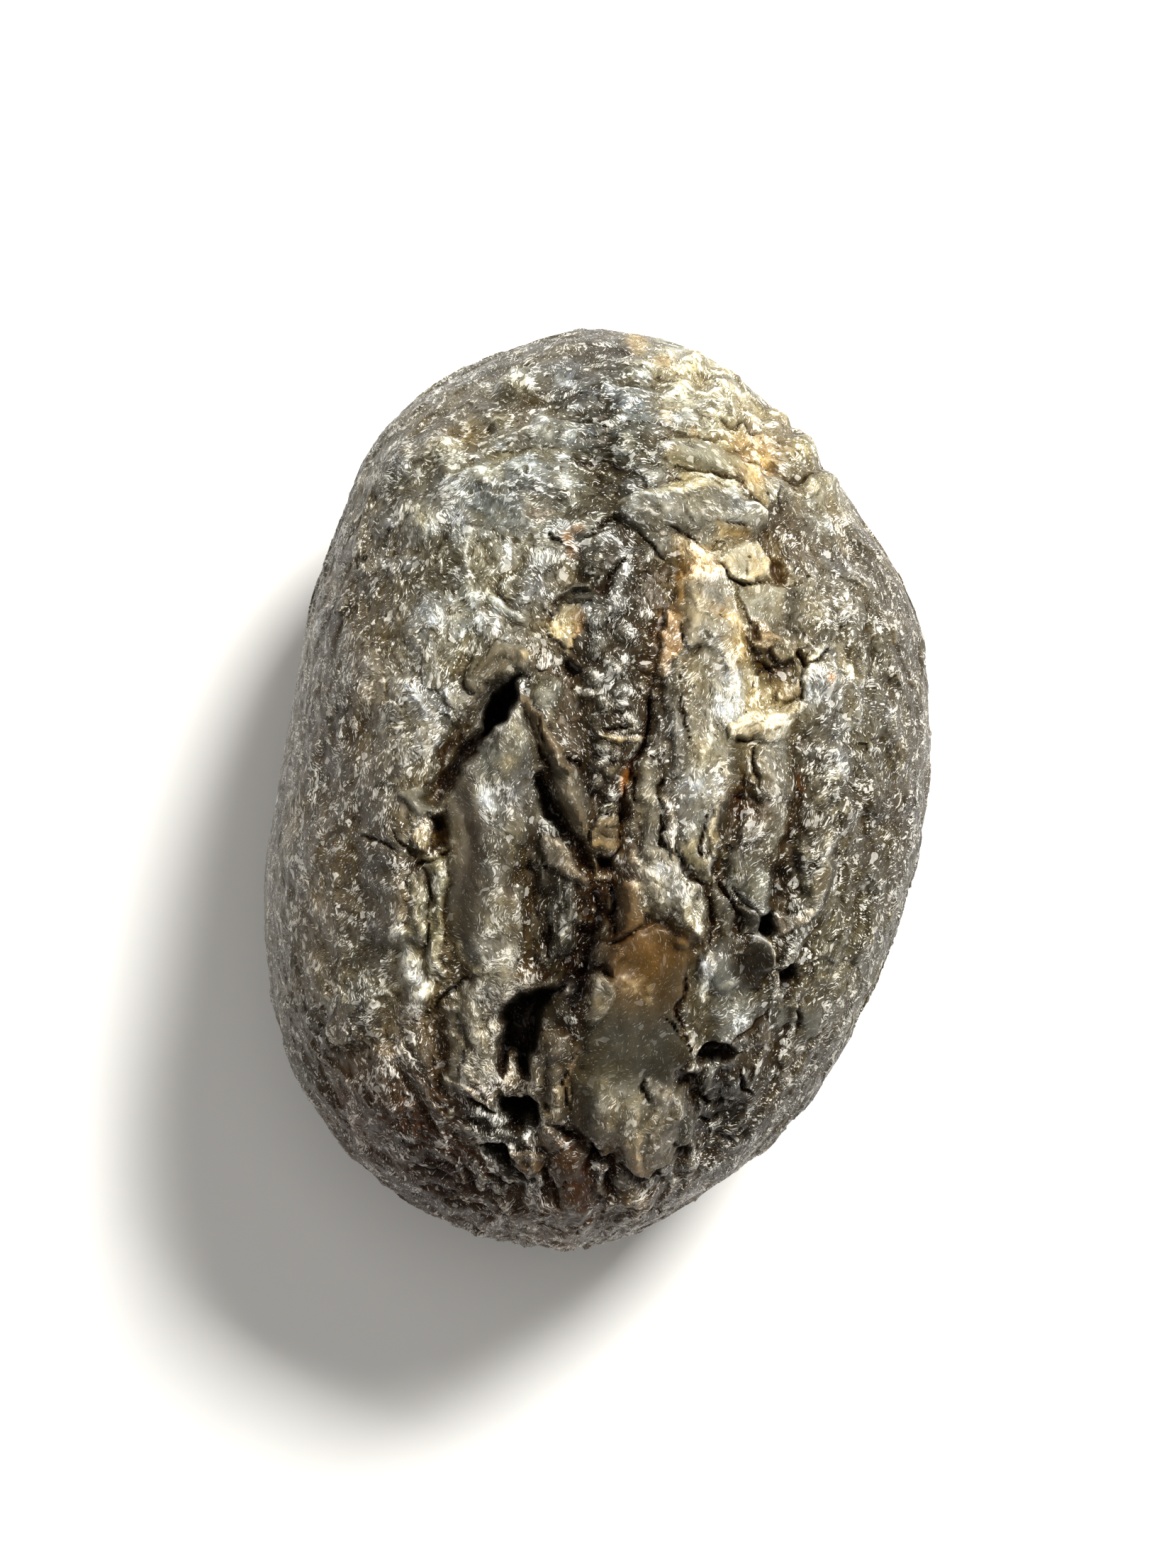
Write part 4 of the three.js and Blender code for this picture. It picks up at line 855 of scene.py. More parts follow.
wash(12.4, 6.0, 1.0, (0.14, 0.13, 0.105), 0.8)
wash(12.5, 6.0, 0.35, RUST, 0.9)
crack([(10.4, 7.3), (11.0, 6.5), (10.9, 5.4)], 0.23, 0.62, GLASS_DARK)

# The fan plate and the pale block above it.
plate([(7.5, 11.0), (9.1, 11.0), (9.6, 10.8), (10.4, 10.8), (11.8, 11.3), (11.5, 10.6),
       (11.3, 10.1), (11.2, 9.1), (10.9, 7.5), (10.4, 7.15), (10.0, 7.0), (9.6, 7.2), (9.3, 7.6),
       (8.9, 7.5), (8.4, 7.6), (8.0, 8.05), (8.2, 8.6), (7.8, 9.8)], 0.37, lean=(-0.1, -0.1),
      colour=(0.19, 0.18, 0.15), smooth=0.4)
patch([(7.5, 10.9), (9.6, 10.9), (10.2, 9.4), (8.9, 9.0), (8.1, 8.8)], (0.36, 0.345, 0.28), 0.85,
      soft=0.25, smooth=0.5)
patch([(10.0, 10.8), (11.3, 10.8), (11.0, 8.0), (10.0, 8.2)], (0.05, 0.046, 0.038), 0.85, soft=0.3)
fibres([(7.6, 10.9), (9.3, 10.9), (9.8, 9.6), (8.9, 9.1), (8.1, 8.8)], (0.8, 0.8), 0.4, 0.12,
       seed=61)
fibres([(10.0, 11.0), (11.4, 11.0), (11.0, 8.0), (10.0, 8.0)], (0.1, 1.0), 0.4, 0.2, seed=63)
plate([(8.1, 8.9), (9.1, 9.0), (9.7, 8.2), (9.2, 7.5), (8.6, 7.7), (8.2, 8.2)], 0.25, (0.2, 0.0),
      colour=(0.27, 0.195, 0.10), smooth=0.2)
hollow([(8.1, 8.6), (8.7, 8.7), (8.9, 8.1), (8.4, 7.8)], depth=0.8, wall=0.3,
       colour=(0.08, 0.045, 0.018))
crack([(10.4, 7.2), (11.1, 6.4), (11.9, 6.9), (12.7, 7.9)], 0.23, 0.56, GLASS_DARK)
hollow([(9.3, 12.6), (10.2, 12.6), (10.1, 11.0), (9.2, 11.0)], depth=0.9, wall=0.5,
       colour=(0.15, 0.100, 0.045))
plate([(6.7, 12.2), (7.15, 12.75), (7.95, 13.1), (8.4, 13.25), (8.9, 13.0), (9.3, 12.2),
       (9.3, 11.8), (9.1, 11.4), (8.6, 11.05), (8.05, 11.1), (7.35, 11.2), (6.95, 11.3)],
      0.68, lean=(0.08, -0.06), colour=(0.50, 0.46, 0.34), smooth=0.6, edge=0.3)
crack([(8.3, 12.4), (8.2, 11.8), (8.15, 11.1)], 0.13, 0.37, GLASS_BROWN)
patch([(8.3, 12.4), (9.2, 12.2), (9.0, 11.3), (8.3, 11.2)], (0.48, 0.39, 0.22), 0.8, soft=0.2)
crack([(6.6, 12.1), (7.0, 11.2), (8.0, 10.95), (9.1, 11.1)], 0.2, 0.74, (0.09, 0.05, 0.02))

# The upper plate, smooth and grey, with a crushed pale upper edge.
plate([(1.6, 15.2), (2.8, 15.8), (4.0, 16.1), (5.0, 16.4), (6.2, 16.4), (7.0, 16.1), (8.0, 15.5),
       (8.9, 14.8), (9.3, 14.1), (8.4, 13.6), (6.5, 13.9), (6.0, 13.2), (5.0, 13.4), (4.0, 12.3),
       (3.2, 12.9), (2.6, 13.4), (2.0, 14.0)], 0.28, lean=(0.06, 0.05), edge=0.6,
      colour=(0.180, 0.170, 0.138), smooth=0.45, strength=0.7)
wash(3.0, 14.6, 1.3, (0.130, 0.121, 0.096), 0.7)
wash(5.2, 15.0, 1.4, (0.165, 0.152, 0.112), 0.6)
wash(7.6, 14.7, 1.2, (0.25, 0.235, 0.175), 0.7)
crack([(4.9, 16.2), (4.6, 15.2), (5.2, 14.3), (6.0, 13.9)], 0.16, 0.35, (0.09, 0.075, 0.05),
      shade=0.8)
crack([(2.6, 15.5), (3.2, 14.8), (3.1, 13.8)], 0.14, 0.3, GLASS_DARK, shade=0.7)
crack([(1.9, 14.3), (2.6, 13.4), (3.2, 12.7), (4.1, 11.9)], 0.2, 0.6, GLASS_DARK)
crack([(4.1, 13.9), (4.7, 13.5), (5.5, 13.0)], 0.21, 0.68, (0.07, 0.045, 0.02))
ridge([(1.6, 15.3), (3.0, 16.0), (4.6, 16.4), (6.2, 16.5), (7.6, 16.0), (9.0, 14.7)],
      (0.15, 0.3, 0.35, 0.35, 0.3, 0.2), 0.23, (0.58, 0.54, 0.42), strength=0.8)
patch([(6.6, 14.2), (7.9, 13.9), (8.0, 13.4), (6.8, 13.5)], (0.50, 0.36, 0.16), 0.8, soft=0.25)
crack([(6.6, 14.3), (7.4, 14.2), (8.2, 13.9)], 0.17, 0.43, (0.09, 0.055, 0.02))

# Long cream lenses above it, lying over one another.
patch([(3.7, 17.7), (4.6, 18.6), (6.4, 18.9), (7.6, 18.2), (8.0, 17.2), (6.4, 17.2), (4.6, 17.2)],
      (0.26, 0.235, 0.155), 0.8, soft=0.35, smooth=0.6)
crack([(3.9, 17.5), (5.2, 17.1), (6.8, 16.9), (8.0, 16.6)], 0.23, 0.56, (0.13, 0.11, 0.06))
crack([(4.0, 19.3), (5.4, 19.3), (6.8, 19.0), (7.8, 18.4)], 0.2, 0.43, (0.15, 0.12, 0.07))
ridge([(4.0, 18.9), (5.6, 19.1), (7.2, 18.7)], (0.2, 0.3, 0.2), 0.2, (0.60, 0.54, 0.38),
      strength=0.8)
ridge([(4.3, 16.9), (5.8, 16.9), (7.4, 16.6)], (0.2, 0.3, 0.2), 0.16, (0.50, 0.45, 0.32),
      strength=0.8)
ridge([(8.5, 18.2), (8.5, 16.8), (9.3, 15.6)], (0.4, 0.6, 0.4), 0.33, (0.44, 0.34, 0.18),
      smooth=0.2)
for x, y, radius, colour in (
    (-5.1, 19.8, 1.1, (0.13, 0.115, 0.08)), (-3.0, 19.4, 1.0, (0.20, 0.19, 0.15)),
    (-1.6, 19.4, 0.9, (0.12, 0.115, 0.095)), (-4.6, 22.2, 1.4, (0.20, 0.19, 0.14)),
    (11.4, 18.8, 1.5, (0.24, 0.21, 0.12)), (10.0, 20.3, 1.0, (0.20, 0.16, 0.09)),
    (8.0, 20.2, 1.0, (0.26, 0.24, 0.18)), (6.6, 20.6, 1.2, (0.34, 0.32, 0.24)),
    (7.0, 22.0, 1.5, (0.38, 0.35, 0.26)), (5.2, 23.2, 1.2, (0.30, 0.27, 0.18)),
    (4.4, 21.6, 1.0, (0.30, 0.25, 0.14)), (2.2, 22.6, 1.0, (0.17, 0.17, 0.14)),
    (1.4, 18.6, 1.1, (0.11, 0.108, 0.09)), (3.0, 17.0, 1.0, (0.16, 0.15, 0.12)),
    (2.0, 16.3, 0.8, (0.06, 0.058, 0.05)), (-8.2, 18.0, 1.4, (0.15, 0.14, 0.11)),
    (-10.8, 17.9, 1.2, (0.085, 0.07, 0.05)), (10.0, 16.4, 1.1, (0.28, 0.25, 0.18)),
    (12.4, 16.6, 1.4, (0.16, 0.15, 0.115)), (-6.4, 17.2, 1.5, (0.19, 0.185, 0.15)),
    (-3.8, 17.4, 1.4, (0.21, 0.205, 0.165)), (-9.6, 14.2, 1.5, (0.17, 0.165, 0.13)),
):
    lobe(x, y, radius, 0.5 * radius)
    wash(x, y, radius * 1.1, colour, 0.8)
crack([(10.2, 17.3), (11.0, 17.2), (11.9, 16.9)], 0.2, 0.68, GLASS_DARK)
crack([(8.1, 18.2), (8.7, 17.8), (9.6, 17.8), (10.2, 17.5)], 0.23, 0.62, (0.12, 0.07, 0.025))
crack([(10.2, 16.6), (10.2, 15.6), (10.0, 14.9)], 0.2, 0.56, GLASS_DARK)
crack([(6.5, 20.0), (7.1, 19.6), (7.8, 19.9), (8.4, 19.6), (9.2, 19.8)], 0.2, 0.56, GLASS_BROWN)
for x, y, radius in ((2.2, 24.6, 0.9), (3.7, 23.6, 0.8), (5.2, 23.6, 0.7), (3.8, 20.2, 0.6),
                     (5.2, 19.6, 0.5), (9.2, 18.4, 0.8), (8.6, 17.2, 0.6), (9.6, 18.0, 0.5)):
    wash(x, y, radius, (0.60, 0.42, 0.19), 0.75)

# The dull window near the head of the stone, and the fan of dark splinters beside it.
patch([(-7.4, 15.1), (-6.5, 14.4), (-6.0, 14.0), (-5.5, 13.6), (-4.8, 13.4), (-4.5, 14.0),
       (-3.8, 14.3), (-2.2, 14.3), (-2.0, 15.0), (-3.5, 15.2), (-5.0, 15.4), (-6.5, 15.7)],
      (0.25, 0.238, 0.195), 0.75, soft=0.5, smooth=0.45)
streak([(-7.3, 15.0), (-6.6, 14.3), (-6.0, 13.9)], 0.4, (0.045, 0.035, 0.018))
patch([(-3.9, 14.9), (-2.4, 15.0), (-2.6, 14.4), (-3.8, 14.3)], (0.15, 0.10, 0.05), 0.7, soft=0.2)
streak([(-7.0, 15.9), (-5.0, 15.8), (-2.6, 15.4)], 0.5, GLASS_PALE, 0.6)
crack([(-0.3, 13.8), (0.6, 14.2), (1.7, 14.5)], 0.33, 0.87)
crack([(-0.6, 13.3), (0.2, 13.7), (1.0, 13.8)], 0.2, 0.56)
fibres([(-0.6, 13.0), (1.8, 14.2), (1.6, 14.9), (-0.6, 14.6)], (1.0, 0.3), 0.4, 0.3, seed=65)
crack([(-2.7, 13.6), (-2.2, 13.2), (-1.9, 12.9)], 0.23, 0.5, GLASS_DARK)
patch([(-2.9, 21.6), (-2.3, 21.9), (-1.2, 21.7), (-1.0, 21.2), (-1.8, 20.9), (-2.6, 21.0)],
      (0.045, 0.042, 0.036), 0.8, soft=0.4)
# A pale spot beside the dark hollow: a painted glint.
wash(-1.9, 22.2, 0.7, (0.55, 0.55, 0.5), 0.7)
wash(-5.2, 21.3, 1.1, (0.06, 0.06, 0.055), 0.6)
for path in ([(-1.0, 18.4), (-0.2, 17.9), (0.9, 18.1)], [(-0.6, 16.8), (0.3, 16.4), (1.0, 16.6)],
             [(-1.3, 20.2), (-0.2, 19.7), (0.7, 20.3)]):
    crack(path, 0.25, 0.45, (0.035, 0.032, 0.028), shade=0.9)

# Earth packed into the cracks of the upper right.
patch([(4.1, 13.4), (5.2, 13.0), (6.0, 13.1), (6.5, 12.3), (6.7, 11.6), (5.2, 11.2), (4.4, 11.2)],
      (0.56, 0.42, 0.23), 0.9, soft=0.3, smooth=0.0)
wash(5.0, 11.9, 0.7, RUST, 0.4)
lobe(5.3, 12.5, 1.1, 0.6)
streak([(4.5, 12.0), (4.35, 10.4), (4.3, 9.2)], 0.4, EARTH, 0.85)
streak([(3.4, 9.6), (3.3, 8.6), (3.4, 7.6)], 0.3, EARTH, 0.5)
crack([(3.1, 5.6), (2.75, 4.7), (2.6, 3.7), (2.4, 2.8), (2.1, 1.5), (1.8, 0.3)], 0.4, 1.4,
      (0.035, 0.016, 0.007))
crack([(1.75, 0.6), (1.6, -0.4), (1.35, -1.2), (1.1, -1.9), (0.95, -2.8), (0.95, -3.6)], 0.24, 0.93,
      (0.09, 0.05, 0.02))
streak([(2.2, 2.0), (1.9, 1.0), (1.6, 0.1), (1.35, -1.2)], 0.3, RUST, 0.8)
wash(1.8, 0.3, 0.35, EARTH, 0.8)

# Black glass bared between the tongue and the broad plate, with three painted glints on its edges.
patch([(-3.2, -3.8), (-2.2, -4.6), (-1.3, -6.0), (-1.5, -8.0), (-2.2, -9.6), (-3.0, -8.0),
       (-3.3, -6.0)], (0.012, 0.013, 0.014), 0.75, soft=0.5, smooth=0.55)
for path in ([(-2.3, -5.6), (-1.9, -6.6), (-2.1, -7.4)], [(-1.6, -6.4), (-1.7, -7.4), (-2.2, -8.4)],
             [(-2.7, -6.4), (-2.5, -7.6), (-2.8, -8.2)]):
    streak(path, 0.10, (0.36, 0.38, 0.38), 0.8)

# Where the whole skin is darker, paler, browner or greyer than its own colour; the lifts in the
# valley left of the tongue and on the tongue's glint are painted light.
DIM, DIMMER, BROWNER = (0.82, 0.80, 0.74), (0.66, 0.63, 0.56), (0.90, 0.66, 0.42)
for x, y, radius, shift, long in (
    (15.0, -6.0, 4.0, DIM, 2.0), (16.5, 2.0, 3.0, DIM, 2.2), (14.0, -1.0, 1.6, DIMMER, 1.4),
    (1.8, 10.6, 2.0, DIMMER, 1.8), (0.6, 6.0, 1.8, DIMMER, 1.6), (-6.4, 12.4, 2.6, DIM, 1.0),
    (-12.5, -18.5, 4.0, (0.90, 0.74, 0.56), 1.0), (-8.0, -22.0, 5.0, BROWNER, 1.0),
    (0.0, -24.0, 6.0, (0.90, 0.60, 0.32), 0.8), (-14.0, -10.0, 4.0, (1.08, 1.10, 1.12), 1.6),
    (6.8, -11.0, 2.0, (1.10, 1.12, 1.12), 1.2), (6.6, -17.3, 2.9, (0.36, 0.32, 0.26), 1.1),
    (-14.4, 1.0, 4.4, (1.42, 1.40, 1.36), 2.6), (-10.4, -11.4, 2.4, (1.5, 1.48, 1.44), 1.8),
    (9.6, -7.8, 1.3, DIMMER, 1.0), (11.0, -10.6, 1.4, DIM, 1.2), (-3.4, -12.6, 2.0, BROWNER, 1.6),
    (0.4, -6.4, 1.6, BROWNER, 2.0), (9.5, 7.0, 1.2, (0.84, 0.74, 0.54), 1.0),
    (8.0, -0.8, 1.2, BROWNER, 1.2), (10.6, -4.6, 1.0, (0.62, 0.64, 0.64), 1.6),
    (-3.0, 14.0, 9.0, (0.97, 1.0, 1.07), 1.0), (-9.4, -3.2, 0.9, (0.72, 0.64, 0.46), 1.4),
    (9.0, -9.2, 1.5, (0.55, 0.57, 0.58), 1.4), (6.2, -16.4, 1.5, (0.55, 0.45, 0.32), 1.2),
    (-0.8, -20.8, 2.2, (0.66, 0.50, 0.30), 1.0), (-10.5, -22.0, 3.0, (0.72, 0.54, 0.44), 0.8),
    (-4.8, -17.4, 1.3, (0.55, 0.57, 0.57), 0.8), (0.8, 10.2, 1.3, (0.64, 0.62, 0.58), 1.3),
    (-2.4, 8.6, 1.2, (1.35, 1.27, 1.10), 1.2), (3.6, 8.8, 1.1, (1.4, 1.28, 1.12), 1.6),
    # The lift at (-7.9, -5.0) is painted light in the shaded valley left of the tongue.
    (1.6, 0.0, 1.3, (1.3, 1.2, 1.1), 2.0), (-7.9, -5.0, 0.9, (1.9, 1.87, 1.72), 4.5),
    (10.4, 8.2, 1.4, (0.90, 0.82, 0.64), 1.2), (12.0, 8.6, 1.0, (0.62, 0.64, 0.64), 1.3),
    (0.4, 12.0, 1.5, (0.44, 0.42, 0.37), 1.0), (0.7, 8.4, 1.5, (0.74, 0.72, 0.68), 1.8),
    (-14.6, -1.0, 5.0, (1.40, 1.42, 1.44), 3.0), (-9.6, -12.8, 2.6, (1.55, 1.56, 1.55), 1.8),
    (13.6, 10.2, 3.2, (1.55, 1.56, 1.50), 1.2), (-6.5, 10.5, 3.0, (1.10, 1.14, 1.12), 1.2),
    (3.0, -5.2, 1.4, (1.35, 1.35, 1.33), 1.2), (5.1, -6.4, 0.7, (0.66, 0.69, 0.74), 1.5),
    (8.0, 16.5, 4.0, (1.22, 1.20, 1.14), 1.0), (14.6, -3.0, 3.4, (0.94, 0.99, 1.05), 3.0),
    (-3.0, 16.0, 7.0, (0.98, 1.01, 1.05), 1.0),
    (-8.6, -21.6, 2.6, (0.55, 0.40, 0.33), 0.9), (-12.0, -18.6, 2.2, (0.80, 0.64, 0.50), 0.9),
    (-0.6, -20.8, 2.4, (0.82, 0.62, 0.34), 1.0), (-5.2, -18.2, 1.5, (0.66, 0.69, 0.72), 0.6),
    (-6.8, -3.5, 0.6, (0.66, 0.60, 0.58), 4.5), (-4.2, -5.2, 0.7, (0.74, 0.70, 0.58), 3.2),
    # The lift at (-5.6, -0.8) brightens the tongue's painted glint.
    (-5.6, -0.8, 0.8, (1.28, 1.27, 1.25), 1.5), (-10.4, -16.2, 1.7, (0.86, 1.02, 1.20), 1.2),
    (-9.5, -2.9, 0.8, (0.80, 1.0, 1.15), 1.0), (-5.8, 14.6, 1.6, (1.30, 1.27, 1.18), 0.8),
    (1.2, 19.4, 1.6, (0.90, 0.90, 0.88), 1.4), (-12.6, -11.0, 1.6, (0.92, 1.04, 1.14), 1.6),
):
    stain_and_painted_light(x, y, radius, shift, long)

# ------------------------------------------------------------------------------------------------
# Grain. The small relief that every broken or worn surface of the stone has: thin leaves along
# the columns and round the head, chips and packed lumps elsewhere, worn softer on the left flank
# and the back. Its colour is darkened in the gaps with painted shade and lightened on crests with
# painted light, and it is pale on its crushed edges, partly a painted edge highlight.
# ------------------------------------------------------------------------------------------------

TONE = 0.60  # how far the glass below a rough skin darkens it
FAN_DISTANCE = 40.0  # how far below the middle the drawn-out columns would meet
STRETCH = 0.27  # the folds are this much finer across than along
MIDDLE_TONE = 0.040  # glass darker than this turns brown
LIGHTNESS = np.array([0.3, 0.6, 0.1])  # shares of red, green and blue, as in every hue below
CRUSHED_EDGE_AND_HIGHLIGHT = np.array([1.0, 0.95, 0.80])
WARM_SPOTS = np.array([0.8, 0.2, -1.5])  # what a warmer spot has more of
DARK_TURNS = np.array([-0.22, 0.0, 0.44])
GAP_SHADE_TURN = np.array([0.30, 0.0, -0.75])
STONE_HUE = np.array([1.0, 1.0, 0.96])
HEAD_HUE = np.array([-0.015, 0.01, 0.02])  # what the head has more of
EDGE_BLEND = 60  # points of the edge averaged together, to each side
# Plain rind's crushing also sets how thick its painted glints are.
PLAIN_CRUSH_AND_GLINTS = 0.42  # how crushed plain rind is


def swells(points, *layers):
    """Noise of several sizes added up; each layer is its height, its spacing and its seed."""
    return sum(rise * noise(points, spacing, seed) for rise, spacing, seed in layers)


def folds(points, spacing, seed):
    """Rounded crests with sharp creases between them, about -1 to 1."""
    return 3.4 * np.abs(noise(points, spacing, seed)) - 0.9


def leaves(points, spacing, seed, steps=2.5):
    """Thin leaves lying over one another: height, how near its edge, and a tone for each leaf."""
    swell = noise(points, spacing, seed) * steps + noise(points, spacing * 0.35, seed + 1) * 0.45
    leaf = np.floor(swell)
    past = swell - leaf
    rise = (leaf + smooth_step(past, 0.84, 1.0) + 0.3 * past) / steps
    place = np.floor(points / (3 * spacing))
    place[:, 2] = leaf
    return rise, smooth_step(past, 0.84, 0.99), scatter(place, seed)[:, 0] * 2 - 1


def packed(points, size, seed):
    """Spots strewn through space: the way from the nearest, its square, and its own numbers."""
    place = points / size
    cell = np.floor(place)
    nearest = np.full(len(points), np.inf)
    way, mark = np.zeros((len(points), 3)), np.zeros((len(points), 3))
    for corner in np.ndindex(3, 3, 3):
        there = cell + corner - 1
        spot = scatter(there, seed)
        gap = place - there - spot
        away = (gap * gap).sum(axis=1)
        closer = away < nearest
        nearest[closer], way[closer], mark[closer] = away[closer], gap[closer], spot[closer]
    return way, nearest, mark


def chips(points, size, seed, step=0.5):
    """Small flat facets, each leaning its own way, with sharp steps between them."""
    way, _, mark = packed(points, size, seed)
    return 2 * (way * (mark[:, (1, 2, 0)] - 0.5)).sum(axis=1) + step * (mark[:, 0] - 0.5)


def pebbles(points, size, seed):
    """Rounded lumps packed together with creases between them, and a tone for each lump."""
    _, away, mark = packed(points, size, seed)
    return np.sqrt(np.clip(1 - away, 0, 1)), mark[:, 1] * 2 - 1


def swirl(points, seed):
    """Points carried about, so that what is drawn on them wanders."""
    moved = points.copy()
    for spacing, reach, offset in ((5.0, 1.3, 0), (1.7, 0.42, 3), (0.7, 0.16, 6)):
        for axis in range(3):
            moved[:, axis] += reach * noise(points, spacing, seed + offset + axis)
    return moved


# Ground that the leaves are laid on: drawn out down the columns, wrapped round the head, or plain.
x, y, z = swirl(face, 81).T
drawn = np.stack([(x - 1) * FAN_DISTANCE / (y + FAN_DISTANCE), y * STRETCH, z * 0.6], -1)
wrapped = np.stack([np.arctan2(x, y + 6) * 16 * STRETCH * 1.4, np.hypot(x, y + 6), z * 0.6], -1)
wandering = np.stack([x, y, z], -1)

x, y = plan.T
left_flank = smooth_step(-x, 9.5, 12.5) * smooth_step(y, -14.0, -6.0) * smooth_step(-y, -11.0, -7.0)
head = smooth_step(y - 0.35 * np.abs(x), 10.0, 14.0)
sheaf = (1 - head) * (1 - left_flank) * smooth_step(-np.abs(x - 1), -13.0, -9.0)

lumps = swells(face, (0.38, 5.5, 21), (0.16, 2.6, 22), (0.04, 1.3, 23))
broad_leaf, broad_edge, broad_tone = leaves(drawn, 2.1, 43)
thin_leaf, thin_edge, thin_tone = leaves(drawn, 0.95, 47)
head_leaf, head_edge, head_tone = leaves(wrapped, 2.4, 51)
rind_leaf, rind_edge, rind_tone = leaves(wandering, 2.2, 55)
big_lump, big_tone = pebbles(wandering, 2.9, 91)
small_lump, small_tone = pebbles(wandering, 1.3, 93)
packed_lumps = 0.35 * big_lump + 0.10 * small_lump
along_columns = 0.58 * broad_leaf + 0.14 * thin_leaf + 0.04 * folds(drawn, 1.2, 41)
round_head = 0.62 * head_leaf + 0.06 * folds(wrapped, 1.6, 44) + 0.4 * packed_lumps
chipped = 0.28 * chips(wandering, 2.6, 24, 0.35) + 0.10 * chips(wandering, 1.3, 27, 0.35)
chipped += 0.38 * rind_leaf + 0.05 * packed_lumps
rounded = swells(face, (0.11, 1.0, 31), (0.05, 0.6, 32))

grain = sheaf * (along_columns + 0.3 * chipped) + head * (round_head + 0.4 * chipped)
rest = np.clip(1 - sheaf - head, 0, 1)
grain += rest * (chipped + left_flank * (rounded - 0.8 * chipped))
grain *= 1 - 0.55 * smooth_step(face_reach, 0.84, 0.97)
lumps *= 1 - 0.85 * smooth_step(face_reach, 0.80, 0.96)
grain = grain * (1 - 0.88 * clean) + lumps * (1 - 0.8 * clean)
height += grain


def soften(values, cells):
    """The values on the net averaged over a square of cells, twice over."""
    grid = values.reshape(CELLS_ALONG + 1, CELLS_ACROSS + 1)
    for _ in range(2):
        for axis in (0, 1):
            pad = [(0, 0), (0, 0)]
            pad[axis] = (cells + 1, cells)
            total = np.cumsum(np.pad(grid, pad, mode="edge"), axis=axis)
            grid = (np.roll(total, -(2 * cells + 1), axis=axis) - total) / (2 * cells + 1)
            grid = grid[: CELLS_ALONG + 1, : CELLS_ACROSS + 1]
    return grid.ravel()


# Tone and colour: painted shade in the gaps and painted light on the crests, darker below a rough
# skin, blotched leaf by leaf, pale on edges, partly a painted edge highlight.
narrow, wide, broad = (height - soften(height, cells) for cells in (3, 12, 36))
# Painted shade where the relief sinks, painted light where it stands up.
painted_relief_shading = np.clip(1 + 0.9 * narrow + 0.38 * wide + 0.22 * broad, 0.3, 1.8)
blotch = 0.40 * noise(face, 4.4, 71) + 0.14 * noise(wandering, 1.9, 72)
blotch += 0.08 * noise(drawn, 0.7, 73) + 0.06 * small_tone
blotch += sheaf * (0.40 * broad_tone + 0.16 * thin_tone)
blotch += head * (0.42 * head_tone + 0.12 * big_tone)
blotch += rest * (1 - 0.5 * left_flank) * (0.48 * rind_tone + 0.14 * big_tone)
tint *= (TONE * painted_relief_shading * np.exp(blotch * (1 - 0.75 * clean)))[:, None]
bare = sum(
    np.exp(-((x - middle_x) / half_x) ** 2 - ((y - middle_y) / half_y) ** 2)
    for middle_x, middle_y, half_x, half_y in (
        (0.6, 6.5, 1.7, 5.5), (11.4, -4.0, 1.8, 8.0), (-2.4, -6.5, 1.4, 3.5),
        (0.4, 18.0, 2.0, 4.5), (6.9, -17.4, 2.2, 2.4),
    ))
bare = np.clip(0.25 + bare, 0, 1) * smooth_step(noise(wandering, 0.62, 79), 0.10, 0.36)
tint *= (1 - 0.72 * bare * (1 - clean))[:, None]
# Pale on leaf edges and crests: crushed edges, partly a painted edge highlight.
pale = sheaf * np.maximum(broad_edge, 0.6 * thin_edge) + head * head_edge + 0.5 * rest * rind_edge
pale = np.maximum(0.6 * pale, smooth_step(narrow, 0.05, 0.18)) * (1 - 0.85 * clean)
tint += (0.07 * pale)[:, None] * CRUSHED_EDGE_AND_HIGHLIGHT
warmth = 0.12 * noise(face, 2.8, 74) + 0.07 * noise(wandering, 0.9, 75)
tint *= 1 + warmth[:, None] * WARM_SPOTS
dark = np.minimum(np.log(np.maximum(tint @ LIGHTNESS, 0.003) / MIDDLE_TONE), 0)
# Deep in the gaps the colour turns browner: painted shade.
painted_gap_shade = np.clip(-1.0 * narrow - 0.5 * wide - 0.25 * broad, 0, 1)
tint *= np.exp(dark[:, None] * DARK_TURNS)
tint *= np.exp(painted_gap_shade[:, None] * GAP_SHADE_TURN)
tint *= STONE_HUE * (1 + head[:, None] * HEAD_HUE)
# How crushed the glass is, and so how thick its white marks, partly painted glints.
edges = sheaf * np.maximum(broad_edge, 0.7 * thin_edge) + head * head_edge + rest * rind_edge
crush_and_glints = 0.40 + 0.7 * edges + 0.7 * narrow + 0.25 * wide
crush_and_glints += scuffed_and_glinting + 0.20 * noise(face, 2.4, 76) + 0.10 * noise(wandering, 1.0, 77)
crush_and_glints = np.clip(crush_and_glints, 0, 1) * (1 - clean)

# Which way the fine hackle marks run: down the columns, round the head, askew on the flanks and
# straight out over the rim.
turned = np.arctan2(x - 1, y + FAN_DISTANCE)
way = np.where(head > 0.5, -0.35 * x / 8.0, math.pi / 2 - turned) + 0.8 * noise(face, 6.0, 78)
way -= rest * 0.6
rim = smooth_step(face_reach, 0.86, 0.96)
way += rim * (np.arctan2(y, x) - way)

back_grain = swells(back, (0.42, 5.5, 21), (0.30, 2.6, 22), (0.20, 1.3, 23), (0.16, 0.8, 31))
back_grain *= 1 - 0.85 * smooth_step(back_reach, 0.80, 0.96)

# The back takes up the colours of the face where the two meet, and fades to plain rind below.
edge = np.flatnonzero(face_reach > 0.9999)
edge = edge[np.argsort(np.arctan2(face[edge, 1], face[edge, 0]))]
edge_turn = np.arctan2(face[edge, 1], face[edge, 0])
back_turn = np.arctan2(back[:, 1], back[:, 0])


